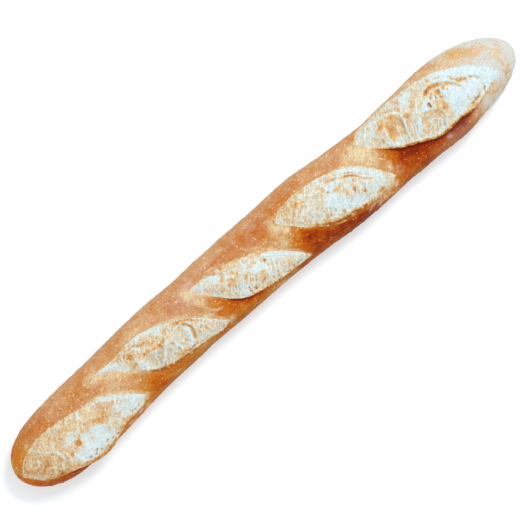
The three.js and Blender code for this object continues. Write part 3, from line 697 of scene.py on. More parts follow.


# ---------------------------------------------------------------------------------------------------------
# Crumb
# ---------------------------------------------------------------------------------------------------------
# What each score shows, mark by mark: shape, place and size, then how many millimetres it is lifted, how much more
# toasted and pale it is, and how much painted shade it gets in its recesses. Shapes: spot and glow are ellipses
# (place, half-sizes, degrees), pit is a bowl with a lip, ring is its outline, line is a strand or a crack (points,
# half-width), and shelf lifts the left side of a line and lets it fall away.
MARKS = {
    "a": [
        ("line", [(-304.5, -6), (-300, -0.6), (-293, 4), (-284, 8)], 2.2, 0.0, 0.26, -0.3, 0.0),
        ("glow", (-284, -14), (17, 8), -25, 0.0, 0.22, -0.2, 0.0),
        ("glow", (-296, -9), (7, 3), -20, 0.0, 0.16, 0.0, 0.0),
        ("line", [(-300, -8), (-292, -10), (-283, -12.5)], 1.6, -0.3, 0.16, 0.0, 0.0),
        ("line", [(-303, -4), (-294, -4.5), (-286, -5)], 1.2, 0.3, 0.02, 0.05, 0.0),
        ("line", [(-282, -16), (-276, -21), (-269, -28)], 1.1, 0.45, -0.15, 0.15, 0.0),
        ("line", [(-286, -18), (-281, -23), (-275, -28)], 0.9, 0.35, -0.08, 0.1, 0.0),
        ("line", [(-277, -4), (-269, -5.5), (-263.5, -11), (-262, -18), (-263, -26)], 1.2, 0.55, -0.08, 0.10, 0.0),
        ("line", [(-270, -9), (-266, -14), (-266, -22)], 1.4, -0.6, 0.08, 0.0, 0.1),
        ("line", [(-258, -10), (-257, -18), (-259, -27)], 1.0, 0.5, -0.1, 0.2, 0.0),
        ("glow", (-272, -16), (5, 4), -20, -0.3, 0.16, 0.0, 0.0),
        ("spot", (-282, -14.5), (1.5, 1.1), 0, -0.6, 0.25, 0.0, 0.4),
        ("spot", (-278.5, -6.5), (2.4, 1.8), 0, 0.2, 0.22, 0.0, 0.0),
        ("spot", (-260.5, 4.5), (1.8, 1.3), 0, -0.4, 0.30, 0.0, 0.1),
        ("glow", (-252, -2), (6, 3), 0, 0.1, 0.16, 0.0, 0.0),
        ("glow", (-231, -1), (6, 2.6), -10, 0.1, 0.20, 0.0, 0.0),
        ("glow", (-268, -30), (14, 2.4), -12, 0.3, 0.34, -0.1, 0.0),
        ("glow", (-290, -23), (7, 3.4), -45, 0.2, 0.14, 0.1, 0.0),
        ("spot", (-253, -22), (3.2, 2.4), 30, -0.4, 0.24, 0.0, 0.1),
        ("pit", (-245, -9), (6.5, 4.6), 0, -1.1, -0.2, 0.75, 0.0),
        ("pit", (-242, -18), (3.4, 3.6), 0, -0.9, 0.42, -0.3, 0.12),
        ("spot", (-239, -15.5), (1.2, 1.0), 0, -0.3, 0.30, 0.0, 0.3),
        ("spot", (-251, -13), (3.4, 2.2), 20, 0.2, -0.1, 0.35, 0.0),
        ("spot", (-238, -31), (14, 8), -10, -0.5, -0.3, 0.95, 0.0),
        ("spot", (-219, -26), (14, 9), -22, -0.5, -0.3, 1.0, 0.0),
        ("spot", (-233, -17.5), (3.4, 4.5), -10, -0.3, -0.2, 0.6, 0.0),
        ("spot", (-227.5, -24), (4.6, 3.4), -10, 0.25, 0.30, -0.75, 0.0),
        ("spot", (-240, -27), (5.0, 4.0), 0, 0.5, 0.16, -0.45, 0.0),
        ("line", [(-250, -24), (-251, -30), (-247, -36), (-240, -39)], 1.2, 0.7, 0.0, 0.35, 0.0),
        ("line", [(-224, -17), (-216, -19), (-209, -23)], 1.2, 0.6, 0.0, 0.4, 0.0),
        ("glow", (-206, -14), (7, 6), -15, 0.3, 0.26, -0.3, 0.0),
        ("glow", (-216, -9), (12, 5), -10, 0.2, 0.16, -0.1, 0.0),
        ("glow", (-209, -26), (6, 4), 0, 0.0, 0.16, -0.4, 0.0),
        ("spot", (-183, -23), (19, 7), -16, -0.3, -0.25, 0.75, 0.0),
        ("spot", (-193, -22), (3.4, 3.0), 0, 0.2, 0.22, -0.5, 0.0),
        ("glow", (-196, -9), (7, 6), -40, 0.0, 0.10, 0.1, 0.0),
        ("glow", (-198, -17), (5, 3.5), -20, 0.1, 0.22, -0.35, 0.0),
        ("line", [(-198, -0.5), (-190, -4), (-183, -9), (-176, -15), (-167, -22), (-160, -26)], 2.6, 0.25, -0.2, 0.6, 0.0), ("line", [(-216, 5), (-206, 2.5), (-194, -1.5), (-184, -8), (-176, -15)], 1.8, 0.1, -0.1, 0.35, 0.0),
        ("line", [(-220, 6), (-226, 3), (-222, -2)], 1.6, 0.2, -0.2, 0.5, 0.0),
        ("line", [(-254, -34), (-244, -40), (-232, -42), (-220, -41), (-208, -38)], 1.5, 0.35, 0.34, -0.5, 0.0),
        ("pit", (-242, -37), (2.2, 1.1), -25, -0.9, 0.1, -0.3, 0.9), ("pit", (-235.5, -37.5), (1.2, 1.0), 0, -0.8, 0.1, -0.3, 0.9),
        ("pit", (-233, -35), (2.4, 1.3), 20, -0.9, 0.15, -0.3, 0.7), ("pit", (-228, -38), (1.3, 1.0), 0, -0.7, 0.1, -0.3, 0.7),
        ("pit", (-218.5, -35.5), (1.6, 1.0), 20, -0.8, 0.1, -0.3, 0.9), ("pit", (-213, -36), (1.4, 0.9), 0, -0.7, 0.1, -0.3, 0.6),
        ("pit", (-206.5, -37), (2.0, 0.8), 10, -0.6, 0.1, -0.3, 0.8), ("pit", (-199, -35.5), (1.6, 0.8), 0, -0.6, 0.1, -0.2, 0.8),
        ("pit", (-266, -31.5), (1.8, 0.9), -20, -0.5, 0.3, 0.0, 0.4), ("pit", (-275, -27), (1.4, 1.0), 0, -0.5, 0.3, 0.0, 0.4),
        ("line", [(-184, -28), (-178, -29.5), (-170, -29)], 0.9, -0.5, 0.0, -0.2, 0.5),
    ],
    "b": [
        ("glow", (-172, 17), (13, 4), -30, 0.1, -0.2, 0.60, 0.0),
        ("glow", (-160, 10), (8, 3), -48, 0.1, -0.2, 0.45, 0.0),
        ("glow", (-146, 13), (11, 9), 0, 0.2, 0.16, -0.2, 0.0),
        ("pit", (-147, 12), (3.2, 3.6), 20, -0.8, 0.36, 0.0, 0.05),
        ("line", [(-152, 9), (-150, 16), (-144, 18), (-140, 14)], 0.9, 0.45, -0.12, 0.2, 0.0),
        ("line", [(-156, 8), (-154, 17), (-146, 21.5), (-138, 19)], 0.9, 0.45, -0.1, 0.25, 0.0), ("line", [(-150, 4), (-143, 6), (-139, 10)], 0.9, 0.4, -0.1, 0.2, 0.0),
        ("spot", (-142.5, 11), (1.3, 1.0), 0, -0.3, 0.0, 0.0, 0.5),
        ("line", [(-139, 21), (-135, 17), (-131, 14.5), (-126, 13.5)], 1.3, -0.8, 0.34, -0.2, 0.05),
        ("line", [(-141, 19), (-137, 14), (-133, 11.5)], 1.6, 0.6, -0.2, 0.55, 0.0),
        ("shelf", [(-143, 22), (-132, 17), (-120, 13), (-108, 9)], 5.0, 0.5, 0.0, 0.0, 0.0),
        ("glow", (-122, 21.5), (26, 3.0), -13, 0.1, -0.18, 0.50, 0.0),
        ("glow", (-108, 13), (6, 3.4), -20, 0.1, -0.08, 0.30, 0.0), ("glow", (-121, 10), (6, 3.4), -10, 0.0, 0.16, -0.2, 0.0),
        ("line", [(-139, 5), (-132, 4.6), (-125, 3.2), (-118, 1.2), (-112, 2.2), (-108, 4)], 1.6, -0.5, 0.46, -0.3, 0.0),
        ("line", [(-127, 9), (-121, 7.5), (-117, 5)], 1.0, 0.3, 0.22, 0.0, 0.0),
        ("spot", (-117, 2), (2.0, 1.4), 0, -0.4, 0.34, 0.0, 0.15),
        ("pit", (-105, 8.5), (3.2, 2.6), 20, -0.6, 0.26, 0.0, 0.2),
        ("pit", (-131, -5), (9, 8), -20, -2.0, 0.02, 0.25, 0.16),
        ("glow", (-131, -5), (3, 6), 10, 0.3, 0.14, -0.1, 0.0),
        ("glow", (-141, -4), (4, 6), 30, 0.2, -0.1, 0.5, 0.0),
        ("line", [(-135, 1), (-137, -5), (-135, -11)], 1.0, 0.7, -0.1, 0.3, 0.0),
        ("line", [(-127, 2), (-127.5, -6), (-130, -13)], 0.9, 0.6, -0.1, 0.25, 0.0),
        ("pit", (-119, -3), (5.5, 4.0), 20, -1.3, 0.1, 0.1, 0.22),
        ("spot", (-117, -1), (1.6, 1.1), 20, -0.5, 0.2, 0.0, 0.6), ("spot", (-122.5, -3), (1.2, 1.6), 0, -0.3, 0.0, 0.0, 0.4),
        ("line", [(-131, -17), (-124, -12), (-117, -6.5), (-111, -1.5), (-107, 2.5)], 1.7, 1.7, 0.05, -0.1, 0.0),
        ("line", [(-129, -17.5), (-122, -12.5), (-116, -8)], 0.9, 0.2, -0.3, 0.5, 0.0),
        ("pit", (-92, -8), (12, 12.5), 0, -1.3, 0.0, 0.1, 0.04),
        ("line", [(-89, 0), (-86.6, -5), (-87.2, -11), (-91, -17), (-95, -20)], 2.6, 1.1, -0.35, 0.95, 0.0),
        ("line", [(-87, 4), (-83, -1), (-82, -7), (-83.5, -13), (-87, -17.5)], 1.5, -0.9, 0.44, -0.6, 0.04),
        ("line", [(-97, 3), (-92, 4.5), (-87, 3.5)], 1.4, 0.5, -0.1, 0.4, 0.0),
        ("line", [(-101, -3), (-103, -10), (-99, -18)], 1.2, 0.7, -0.1, 0.35, 0.0),
        ("line", [(-96, -2), (-97.5, -9), (-95, -15)], 0.9, 0.6, 0.0, 0.2, 0.0),
        ("line", [(-95, -11), (-91, -14), (-92, -18)], 1.0, -0.4, 0.2, -0.2, 0.15),
        ("glow", (-112, -10), (9, 7), 35, 0.0, 0.02, 0.40, 0.05),
        ("pit", (-112, -9), (2.0, 2.8), -20, -0.7, 0.12, 0.0, 0.35), ("pit", (-105.5, -6), (2.0, 2.4), 0, -0.6, 0.22, 0.0, 0.2),
        ("pit", (-104.5, -13), (2.2, 1.7), 30, -0.6, 0.16, 0.0, 0.3), ("pit", (-110, -15), (1.6, 1.3), 0, -0.5, 0.1, 0.0, 0.35),
        ("pit", (-126, -17.5), (1.8, 1.3), 30, -0.7, 0.1, 0.0, 0.6),
        ("glow", (-103, -20), (11, 2.6), -8, 0.3, 0.34, -0.4, 0.0),
        ("line", [(-103, -17.5), (-99, -20.5), (-92, -21.5), (-86, -21)], 0.8, -0.6, 0.36, -0.3, 0.15),
        ("glow", (-66, -20), (15, 6), -30, 0.0, 0.0, 0.14, 0.0),
        ("glow", (-76, -13), (3.4, 4.4), 0, -0.2, 0.26, -0.3, 0.0), ("glow", (-67, -17), (3.4, 2.4), 0, -0.2, 0.20, -0.2, 0.0),
        ("line", [(-80, -5), (-76, -12), (-77, -20)], 0.9, 0.5, -0.1, 0.3, 0.0),
        ("line", [(-73, -6), (-68, -14), (-67, -23)], 0.9, 0.5, -0.1, 0.3, 0.0),
        ("line", [(-80, 5.5), (-72, -0.5), (-65, -8), (-57, -16.5), (-50, -23.5)], 1.2, 0.55, -0.1, 0.5, 0.0),
        ("line", [(-92, 7.5), (-86, 6.2), (-80, 3.2), (-74, -1.2)], 0.9, -0.5, 0.34, -0.2, 0.05),
        ("line", [(-79, 0.5), (-74, -3)], 1.1, -0.7, 0.2, -0.3, 0.45),
        ("glow", (-88, 8.5), (12, 3), -30, 0.0, 0.14, 0.0, 0.0),
        ("line", [(-58, -26), (-54, -25.6), (-50, -25.2)], 0.8, -0.8, 0.0, -0.5, 1.0),
    ],
    "c": [
        ("line", [(-26, 20.8), (-12, 17.8), (3, 12.8), (15, 6.6), (25, -0.2)], 1.9, 0.0, 0.30, -0.6, 0.0),
        ("line", [(-47, 22.8), (-39, 22.4), (-32, 21), (-26, 18.6)], 0.9, -0.7, 0.40, -0.3, 0.15),
        ("line", [(-47, 21.4), (-39, 20.8), (-32, 19)], 1.1, 0.5, -0.1, 0.5, 0.0),
        ("glow", (-52, 18), (6, 4), -30, 0.0, -0.1, 0.45, 0.06),
        ("spot", (-32.5, 15.5), (5.2, 3.6), -20, 0.2, -0.35, 0.85, 0.0), ("glow", (-43, 19.5), (4, 2), 0, 0.1, -0.2, 0.4, 0.0),
        ("pit", (-30, 19), (2.2, 1.2), -20, -0.6, 0.1, -0.4, 0.4),
        ("glow", (-44, 9), (8, 7), -50, 0.0, 0.10, 0.15, 0.06),
        ("glow", (-36, 8), (5, 5), 0, 0.1, 0.16, 0.0, 0.0), ("glow", (-18, 14), (12, 4), -15, 0.1, 0.10, 0.0, 0.0),
        ("pit", (-22.5, 1.5), (6, 5), -10, -0.7, 0.30, 0.0, 0.0),
        ("spot", (-24.5, -0.5), (3.0, 2.2), 0, -0.3, 0.22, 0.0, 0.08), ("spot", (-15.5, 4), (4.4, 5.0), -20, -0.2, 0.16, -0.3, 0.0),
        ("spot", (-22, 5), (1.6, 1.2), 0, 0.0, 0.2, 0.0, 0.05), ("pit", (-21.5, -4.5), (1.6, 1.0), 20, -0.6, 0.0, 0.0, 0.6),
        ("line", [(-31, -9.5), (-26, -3.5), (-21, 1)], 0.7, 0.5, -0.15, 0.35, 0.0),
        ("line", [(-27, -13), (-21.5, -6.5), (-15, -1)], 0.7, 0.5, -0.15, 0.4, 0.0),
        ("line", [(-22, -16.5), (-16, -9), (-8, -1.5)], 0.8, 0.6, -0.2, 0.5, 0.0),
        ("line", [(-18, -18.5), (-11, -10.5), (-3, -4)], 0.7, 0.5, -0.15, 0.4, 0.0),
        ("line", [(-11.5, -20.5), (-5.5, -13), (1, -7.5)], 0.6, 0.4, -0.1, 0.3, 0.0),
        ("line", [(-23, -13), (-18, -7), (-12, -1.5)], 0.6, -0.3, 0.04, -0.1, 0.08),
        ("line", [(-15, -18), (-9, -11), (-3, -6)], 0.6, -0.3, 0.06, -0.1, 0.08),
        ("spot", (-18, -15), (5.5, 2.4), -38, 0.3, -0.3, 0.8, 0.0),
        ("pit", (-27, -10), (1.8, 1.2), -30, -0.7, 0.0, 0.0, 0.7), ("pit", (-30, -7), (1.2, 0.9), 0, -0.5, 0.0, 0.0, 0.4),
        ("pit", (-12.8, -18), (1.2, 1.3), 0, -0.9, 0.15, -0.3, 0.9), ("pit", (-7, -19.4), (1.3, 1.7), 20, -0.9, 0.2, -0.3, 0.9),
        ("pit", (-2, -13), (1.3, 0.9), 30, -0.5, 0.1, 0.0, 0.45), ("pit", (2, -9.5), (1.2, 0.8), 0, -0.4, 0.1, 0.0, 0.35),
        ("glow", (-6, -6), (6, 6), 50, -0.1, 0.14, -0.1, 0.05), ("glow", (-3, 6), (10, 5), -25, 0.0, -0.06, 0.2, 0.0),
        ("spot", (7, -4.5), (6.5, 3.6), -15, -0.2, -0.4, 1.1, 0.0), ("spot", (12, -7), (4.6, 3.4), -40, -0.2, -0.35, 0.85, 0.0),
        ("pit", (17, -3.8), (1.9, 2.0), 0, -0.8, 0.42, -0.6, 0.25), ("line", [(13, -1), (16, -1.8), (19, -4)], 0.9, 0.4, 0.2, -0.3, 0.0),
        ("spot", (6, 3), (2.4, 1.6), -20, 0.0, 0.22, 0.0, 0.0),
        ("line", [(1.5, -19), (6, -15), (11, -10.5), (14, -8)], 1.1, 0.7, 0.30, -0.4, 0.0),
        ("spot", (5.5, -17.5), (2.2, 1.6), 30, -0.3, 0.34, -0.2, 0.05),
        ("line", [(3, -22), (9, -16), (15, -9)], 0.8, 0.16, -0.1, 0.2, 0.0),
        ("line", [(8, -24), (14, -17), (19, -9)], 0.9, 0.16, -0.1, 0.2, 0.0), ("line", [(14, -25.5), (19, -18), (23, -11)], 0.9, 0.16, -0.1, 0.2, 0.0),
        ("line", [(20, -26.5), (25, -19), (28, -13)], 0.9, 0.14, -0.05, 0.15, 0.0), ("line", [(27, -27), (31, -20), (33, -15)], 0.9, 0.14, -0.05, 0.15, 0.0),
        ("line", [(17, -26), (22, -18.5), (26, -11)], 0.7, -0.4, 0.22, -0.3, 0.05), ("line", [(11, -24.5), (17, -17), (21, -10)], 0.7, -0.4, 0.16, -0.2, 0.05),
        ("glow", (28, -8), (7, 5), -40, 0.1, -0.1, 0.55, 0.0), ("glow", (22, -20), (9, 5), -30, 0.0, 0.12, 0.0, 0.0),
        ("line", [(14, 4), (24, -2.5), (33, -9.5), (42, -17), (50, -25.5)], 3.6, 0.2, -0.18, 0.60, 0.0),
        ("line", [(16, 1), (26, -6), (35, -13.5), (44, -21.5)], 0.7, -0.25, 0.12, -0.2, 0.0),
        ("line", [(20, 2.5), (30, -5.2), (39, -13), (48, -22)], 0.7, -0.25, 0.10, -0.15, 0.0),
        ("pit", (29, -27.5), (1.8, 0.9), -10, -0.5, 0.1, -0.2, 0.5), ("pit", (36, -28), (1.6, 0.8), 0, -0.5, 0.1, -0.2, 0.5), ("pit", (44, -27.5), (2.0, 1.0), 0, -0.4, 0.12, -0.2, 0.4),
        ("pit", (51, -28.5), (1.6, 0.8), 0, -0.4, 0.1, -0.2, 0.4), ("glow", (42, -26.5), (10, 2), -5, 0.0, 0.12, -0.2, 0.14),
    ],
    "d": [
        ("line", [(53, 18.6), (60, 22.4), (70, 24.6), (82, 24.8), (95, 23.6)], 1.9, 0.0, 0.24, -0.5, 0.0),
        ("glow", (66, 8), (11, 11), -40, 0.0, 0.15, -0.1, 0.03), ("glow", (54, 16), (4, 3), -40, 0.0, -0.1, 0.45, 0.05),
        ("line", [(58, 5), (64, 10), (70, 16)], 0.8, 0.3, -0.05, 0.1, 0.0), ("line", [(62, 1), (69, 8), (76, 15)], 0.8, 0.3, -0.08, 0.12, 0.0),
        ("line", [(66, -3), (73, 4), (81, 12)], 0.8, 0.3, -0.08, 0.12, 0.0), ("line", [(71, -7), (78, 0), (85, 8)], 0.8, 0.3, -0.08, 0.15, 0.0),
        ("line", [(76, -11), (83, -4), (90, 4)], 0.8, 0.25, -0.05, 0.15, 0.0), ("line", [(60, 3), (66, 9), (73, 15)], 0.6, -0.2, 0.1, 0.0, 0.04),
        ("line", [(64, -1), (71, 6), (78, 13)], 0.6, -0.2, 0.1, 0.0, 0.04), ("line", [(68.5, -5), (75.5, 2), (83, 10)], 0.6, -0.2, 0.1, 0.0, 0.04),
        ("line", [(84, 22), (90, 17), (97, 13.5), (104, 13)], 1.1, 0.5, -0.15, 0.5, 0.0), ("line", [(78, 22), (83, 17), (90, 13)], 0.9, 0.4, -0.1, 0.3, 0.0),
        ("line", [(101, 3), (106, 9), (113, 14.5), (121, 16.5), (129, 14.5)], 1.0, 0.45, 0.14, -0.1, 0.0),
        ("line", [(97, 0), (102, 7), (109, 13), (117, 17)], 0.9, 0.4, 0.18, 0.0, 0.0), ("line", [(92, -2), (97, 5), (104, 11)], 0.9, 0.4, -0.1, 0.3, 0.0),
        ("glow", (75, 16), (10, 6), 0, 0.0, 0.22, -0.3, 0.0), ("glow", (95, 6), (5, 6), 30, 0.0, 0.10, 0.0, 0.0),
        ("spot", (110, -8), (10, 12), 10, -0.6, -0.35, 0.90, 0.0), ("spot", (115.5, 8), (5.6, 3.6), -10, -0.4, -0.35, 0.95, 0.0), ("spot", (126, -20), (8, 6), -20, -0.3, -0.3, 0.8, 0.0),
        ("pit", (109.2, 5), (1.8, 1.4), 0, -0.8, 0.3, -0.6, 0.75), ("pit", (120.5, 11.4), (2.6, 1.2), -12, -0.8, 0.12, -0.6, 0.6),
        ("spot", (116, -1), (4, 3.4), -20, 0.2, 0.32, -0.8, 0.0), ("spot", (123, -6), (3.0, 4.4), -25, 0.2, 0.38, -0.8, 0.0), ("spot", (117, 3), (3, 1.6), 0, 0.2, 0.26, -0.5, 0.0),
        ("line", [(112, 13.5), (119, 12.8), (126, 9.6), (131, 6)], 0.8, -0.3, 0.16, -0.2, 0.05),
        ("line", [(130, 6.4), (135, 4.2), (139, 1), (142.5, -3)], 1.0, -0.8, 0.46, -0.5, 0.40),
        ("line", [(142, -3), (145, -7.5), (149, -11.5), (153, -14)], 0.7, -0.5, 0.24, -0.3, 0.12),
        ("line", [(129, 3), (133.5, 1), (138, -2.5)], 1.2, 0.3, -0.3, 0.7, 0.0),
        ("pit", (136, -1.8), (2.0, 1.2), 30, -0.7, 0.05, -0.5, 0.75), ("pit", (133.5, 1), (0.9, 0.8), 0, -0.4, 0.0, -0.3, 0.5),
        ("pit", (130.4, -10.5), (1.5, 4.0), -20, -1.1, 0.12, -0.5, 0.7), ("glow", (134, -10), (3.4, 5.4), -20, 0.0, 0.30, -0.5, 0.0),
        ("pit", (138.2, -17.5), (1.5, 3.0), -35, -0.7, 0.40, -0.5, 0.15), ("line", [(132, -20), (136, -13), (139, -6)], 0.9, 0.6, -0.2, 0.5, 0.0),
        ("line", [(140, -22), (143, -15), (144, -8)], 0.9, 0.6, -0.2, 0.5, 0.0), ("line", [(146, -26), (149, -20), (151, -16)], 0.8, 0.4, -0.1, 0.4, 0.0),
        ("pit", (119.8, -16.6), (1.2, 0.9), 0, -0.6, 0.0, -0.4, 0.85), ("pit", (122.6, -15.4), (0.8, 1.0), 0, -0.5, 0.0, -0.4, 0.8), ("pit", (115.5, -9), (0.9, 0.7), 0, -0.4, 0.0, -0.3, 0.5),
        ("pit", (109, -19), (2.6, 2.6), 30, -0.7, 0.30, -0.7, 0.25), ("pit", (103.5, -13.5), (2.2, 1.2), 30, -0.5, 0.1, -0.5, 0.4), ("pit", (101, -8.5), (1.4, 1.2), 0, -0.4, 0.1, -0.4, 0.35),
        ("pit", (87, -7.5), (2.6, 1.6), -20, -0.4, 0.12, 0.0, 0.2), ("pit", (93, -6), (1.6, 1.4), 0, -0.4, 0.1, 0.0, 0.25),
        ("line", [(79, -10), (86, -13.5), (94, -18), (102, -23), (112, -27), (124, -28.5)], 2.2, 0.3, 0.36, -0.3, 0.0),
        ("line", [(84, -15.5), (93, -21), (102, -25.5), (111, -28)], 0.8, -0.6, 0.2, -0.2, 0.12), ("line", [(104, -22.5), (112, -24.5), (121, -26)], 0.9, -0.5, 0.34, -0.3, 0.1),
        ("line", [(94, -12.5), (101, -16), (108, -20.5), (115, -23)], 1.1, 0.7, 0.26, -0.5, 0.0), ("spot", (97, -17), (4.2, 2.4), -28, 0.1, -0.3, 0.55, 0.0),
        ("pit", (87.5, -17.5), (1.4, 0.8), -30, -0.5, 0.2, 0.0, 0.5), ("pit", (115, -25.5), (2.0, 0.8), -10, -0.5, 0.3, 0.0, 0.3),
        ("glow", (153, -20), (11, 5), -30, 0.0, -0.1, 0.55, 0.04), ("spot", (153, -28.3), (3.2, 1.7), 10, -0.3, 0.50, -0.6, 0.25), ("spot", (148, -28.2), (2.2, 1.4), 0, -0.3, 0.16, -0.3, 0.3),
        ("line", [(124, 17.5), (135, 11.5), (146, 2), (155, -9), (163, -20)], 3.0, 0.25, -0.2, 0.60, 0.0),
        ("line", [(130, 11), (140, 4.5), (148, -5), (156, -15)], 0.7, -0.3, 0.12, -0.2, 0.0), ("line", [(122, 16), (133, 10), (143, 1.5)], 0.6, -0.25, 0.16, -0.2, 0.0),
        ("line", [(146, -4), (152, -11), (159, -18)], 0.7, 0.35, -0.1, 0.4, 0.0),
    ],
    "e": [
        ("glow", (176, 20), (13, 9), -40, 0.0, 0.06, 0.15, 0.0),
        ("line", [(166, 24), (173, 29)], 0.8, 0.5, -0.1, 0.3, 0.0), ("line", [(168, 19), (176, 26), (182, 31)], 0.9, 0.6, -0.15, 0.35, 0.0),
        ("line", [(171, 13.5), (178, 19.5), (186, 27)], 0.8, 0.5, -0.1, 0.3, 0.0), ("line", [(170, 17), (177, 23.5), (183, 29)], 0.7, -0.4, 0.2, 0.0, 0.05),
        ("pit", (178, 13.5), (3.4, 3.2), 0, -0.7, 0.12, 0.0, 0.22), ("ring", (178, 13.5), (2.0, 2.0), 0, 0.25, 0.3, 0.14, 0.0, 0.0),
        ("glow", (175, 20), (3, 2), 0, 0.0, 0.20, 0.0, 0.0), ("spot", (187, 28), (5.0, 3.0), -10, 0.0, -0.2, 0.55, 0.0), ("glow", (183, 22), (4, 3), 40, 0.0, -0.1, 0.35, 0.0),
        ("pit", (200.5, 7.5), (10.2, 14.5), -18, -1.9, 0.20, -0.2, 0.02),
        ("glow", (196.5, 10), (3.0, 6.0), -14, -0.7, 0.36, 0.0, 0.06), ("glow", (206, 15), (5, 4.5), -30, -0.2, 0.16, 0.0, 0.04),
        ("glow", (198, -3), (5, 4), -20, 0.6, -0.35, 0.50, 0.0), ("line", [(200, 16), (203, 8), (201, -1)], 1.0, 0.6, -0.1, 0.2, 0.0),
        ("line", [(205, 12), (206, 5), (203, -4)], 0.9, 0.4, -0.08, 0.15, 0.0), ("spot", (202, 13), (1.2, 1.0), 0, 0.2, 0.2, 0.0, 0.05), ("spot", (205, 18), (1.4, 0.9), 0, 0.1, 0.2, 0.0, 0.1),
        ("line", [(186, 15.5), (191, 20.2), (198, 22.4), (205, 21.8), (211, 18)], 1.5, 0.5, 0.42, -0.3, 0.0), ("glow", (190, 18), (4, 2.4), 20, 0.1, 0.28, -0.2, 0.05),
        ("line", [(190.6, -1), (190, 7), (192.5, 14)], 0.9, 0.5, -0.2, 0.4, 0.0), ("line", [(184, 5), (188, -1), (193, -6)], 1.6, 0.5, -0.15, 0.5, 0.0),
        ("line", [(214, 19), (213, 12), (210, 3), (207, -5), (205.5, -10)], 1.0, 1.7, -0.1, 0.35, 0.0), ("line", [(211.5, 16), (210.5, 10), (207.5, 1), (205, -6)], 0.7, 0.3, 0.30, -0.2, 0.0),
        ("pit", (214.5, -1), (5.4, 14.5), -25, -1.4, 0.04, 0.1, 0.0), ("line", [(216.5, 4), (213, -4), (210, -11)], 0.9, 0.5, -0.1, 0.2, 0.0),
        ("pit", (217.5, 11), (3.0, 3.6), 20, -1.0, 0.20, -0.3, 0.35), ("spot", (223, 10.5), (2.0, 2.6), 0, 0.2, 0.26, -0.3, 0.0),
        ("line", [(231, 12), (226, 4), (221, -6), (216.5, -14)], 1.5, 1.4, -0.25, 0.7, 0.0), ("line", [(222, 8), (218.5, 0), (214, -9), (211, -13)], 0.8, 0.7, -0.2, 0.5, 0.0),
        ("line", [(232, 12), (227, 4), (222, -5)], 0.7, -0.6, 0.22, -0.3, 0.0), ("spot", (226, 5), (1.5, 1.4), 0, -0.6, 0.05, -0.3, 0.5),
        ("pit", (236, -11), (11.5, 12), -20, -1.8, 0.04, 0.0, 0.05), ("glow", (235, -13), (5.5, 5.0), 0, 0.9, 0.06, 0.0, 0.0), ("glow", (229, -10), (3, 4), 0, 0.4, 0.06, 0.0, 0.03),
        ("line", [(223.5, -9), (226, -4.5), (230.5, -1), (236, 1)], 0.9, -0.5, 0.05, -0.3, 0.65), ("line", [(231, -17), (233, -10), (238, -6), (243, -8)], 0.8, 0.6, -0.15, 0.4, 0.0), ("line", [(226, -15), (231, -12), (234, -6)], 0.6, 0.5, -0.15, 0.35, 0.0), ("line", [(234, -20), (238, -14), (246, -12)], 0.6, 0.5, -0.15, 0.35, 0.0), ("line", [(228, -6), (235, -9), (243, -14)], 0.6, 0.4, -0.1, 0.3, 0.0), ("line", [(238, -18), (241, -12), (240, -6)], 0.8, 0.4, -0.1, 0.2, 0.0),
        ("line", [(243, -15), (239, -19), (236, -23)], 1.0, 0.9, -0.3, 0.7, 0.0), ("line", [(247, -17), (243, -21), (241, -25)], 0.9, 0.7, -0.2, 0.5, 0.0), ("pit", (233, -20), (2.2, 1.5), 20, -0.5, 0.1, 0.0, 0.25),
        ("spot", (237.5, 4.6), (4.6, 3.6), 30, 0.5, -0.35, 0.95, 0.0), ("pit", (242, 3.8), (2.2, 3.1), -15, -2.4, 0.46, -0.8, 0.55),
        ("pit", (247, 8), (1.8, 1.6), 0, -0.8, 0.05, 0.0, 0.6), ("pit", (251.5, 5.4), (1.3, 1.6), 0, -0.8, 0.1, 0.0, 0.5), ("pit", (256.4, 8.2), (3.0, 3.4), -20, -1.3, 0.30, -0.3, 0.3),
        ("pit", (263.4, 8.2), (2.2, 2.6), 20, -1.1, 0.24, -0.3, 0.35), ("pit", (255, 2.6), (1.3, 1.0), 0, -0.6, 0.05, 0.0, 0.6), ("pit", (266, 4), (1.3, 1.1), 0, -0.7, 0.05, -0.3, 0.6),
        ("pit", (250, 11), (1.4, 1.1), 0, -0.5, 0.1, 0.0, 0.4), ("pit", (260, 4.5), (1.0, 1.6), 0, -0.6, 0.05, 0.0, 0.4), ("line", [(260.5, 11), (260, 4), (261, -3)], 0.9, 0.7, -0.2, 0.5, 0.0),
        ("line", [(243, 14), (247.5, 15.8), (253, 16.6), (258.5, 15.2), (264, 12), (269, 7.6), (273.5, 3.2)], 1.6, -0.7, 0.50, -0.5, 0.0),
        ("line", [(273, 4), (276.5, 0), (278, -5)], 0.8, -0.5, 0.1, -0.3, 0.45), ("shelf", [(243, 16), (253, 18.5), (262, 16), (272, 8), (279, 0)], 5.0, 1.2, 0.0, 0.0, 0.0),
        ("glow", (248, 14.5), (4, 2), 10, 0.0, 0.30, -0.2, 0.05), ("glow", (250, -5), (8, 6), -20, 0.1, 0.20, -0.2, 0.03), ("glow", (246, -12), (8, 5), -10, 0.0, 0.10, 0.0, 0.0),
        ("spot", (268, -9), (10.5, 12.5), -10, 0.9, -0.40, 0.95, 0.0), ("spot", (284, -10), (10, 8), -30, 0.6, -0.35, 0.95, 0.0), ("spot", (259, -20), (4.5, 4.5), 0, 0.3, -0.2, 0.6, 0.0),
        ("line", [(262, 21.5), (264.5, 19.4), (267, 16.8)], 0.9, -0.5, 0.30, -0.4, 0.35), ("line", [(268, 26), (272, 22.5)], 0.7, -0.3, 0.1, -0.3, 0.4),
        ("line", [(276, 13), (275.5, 9.5), (278, 6)], 0.9, -0.5, 0.14, -0.3, 0.3), ("line", [(278, 6.6), (280.5, 3.4), (284, 0.8), (287, -1)], 1.5, -0.9, 0.34, -0.7, 0.15),
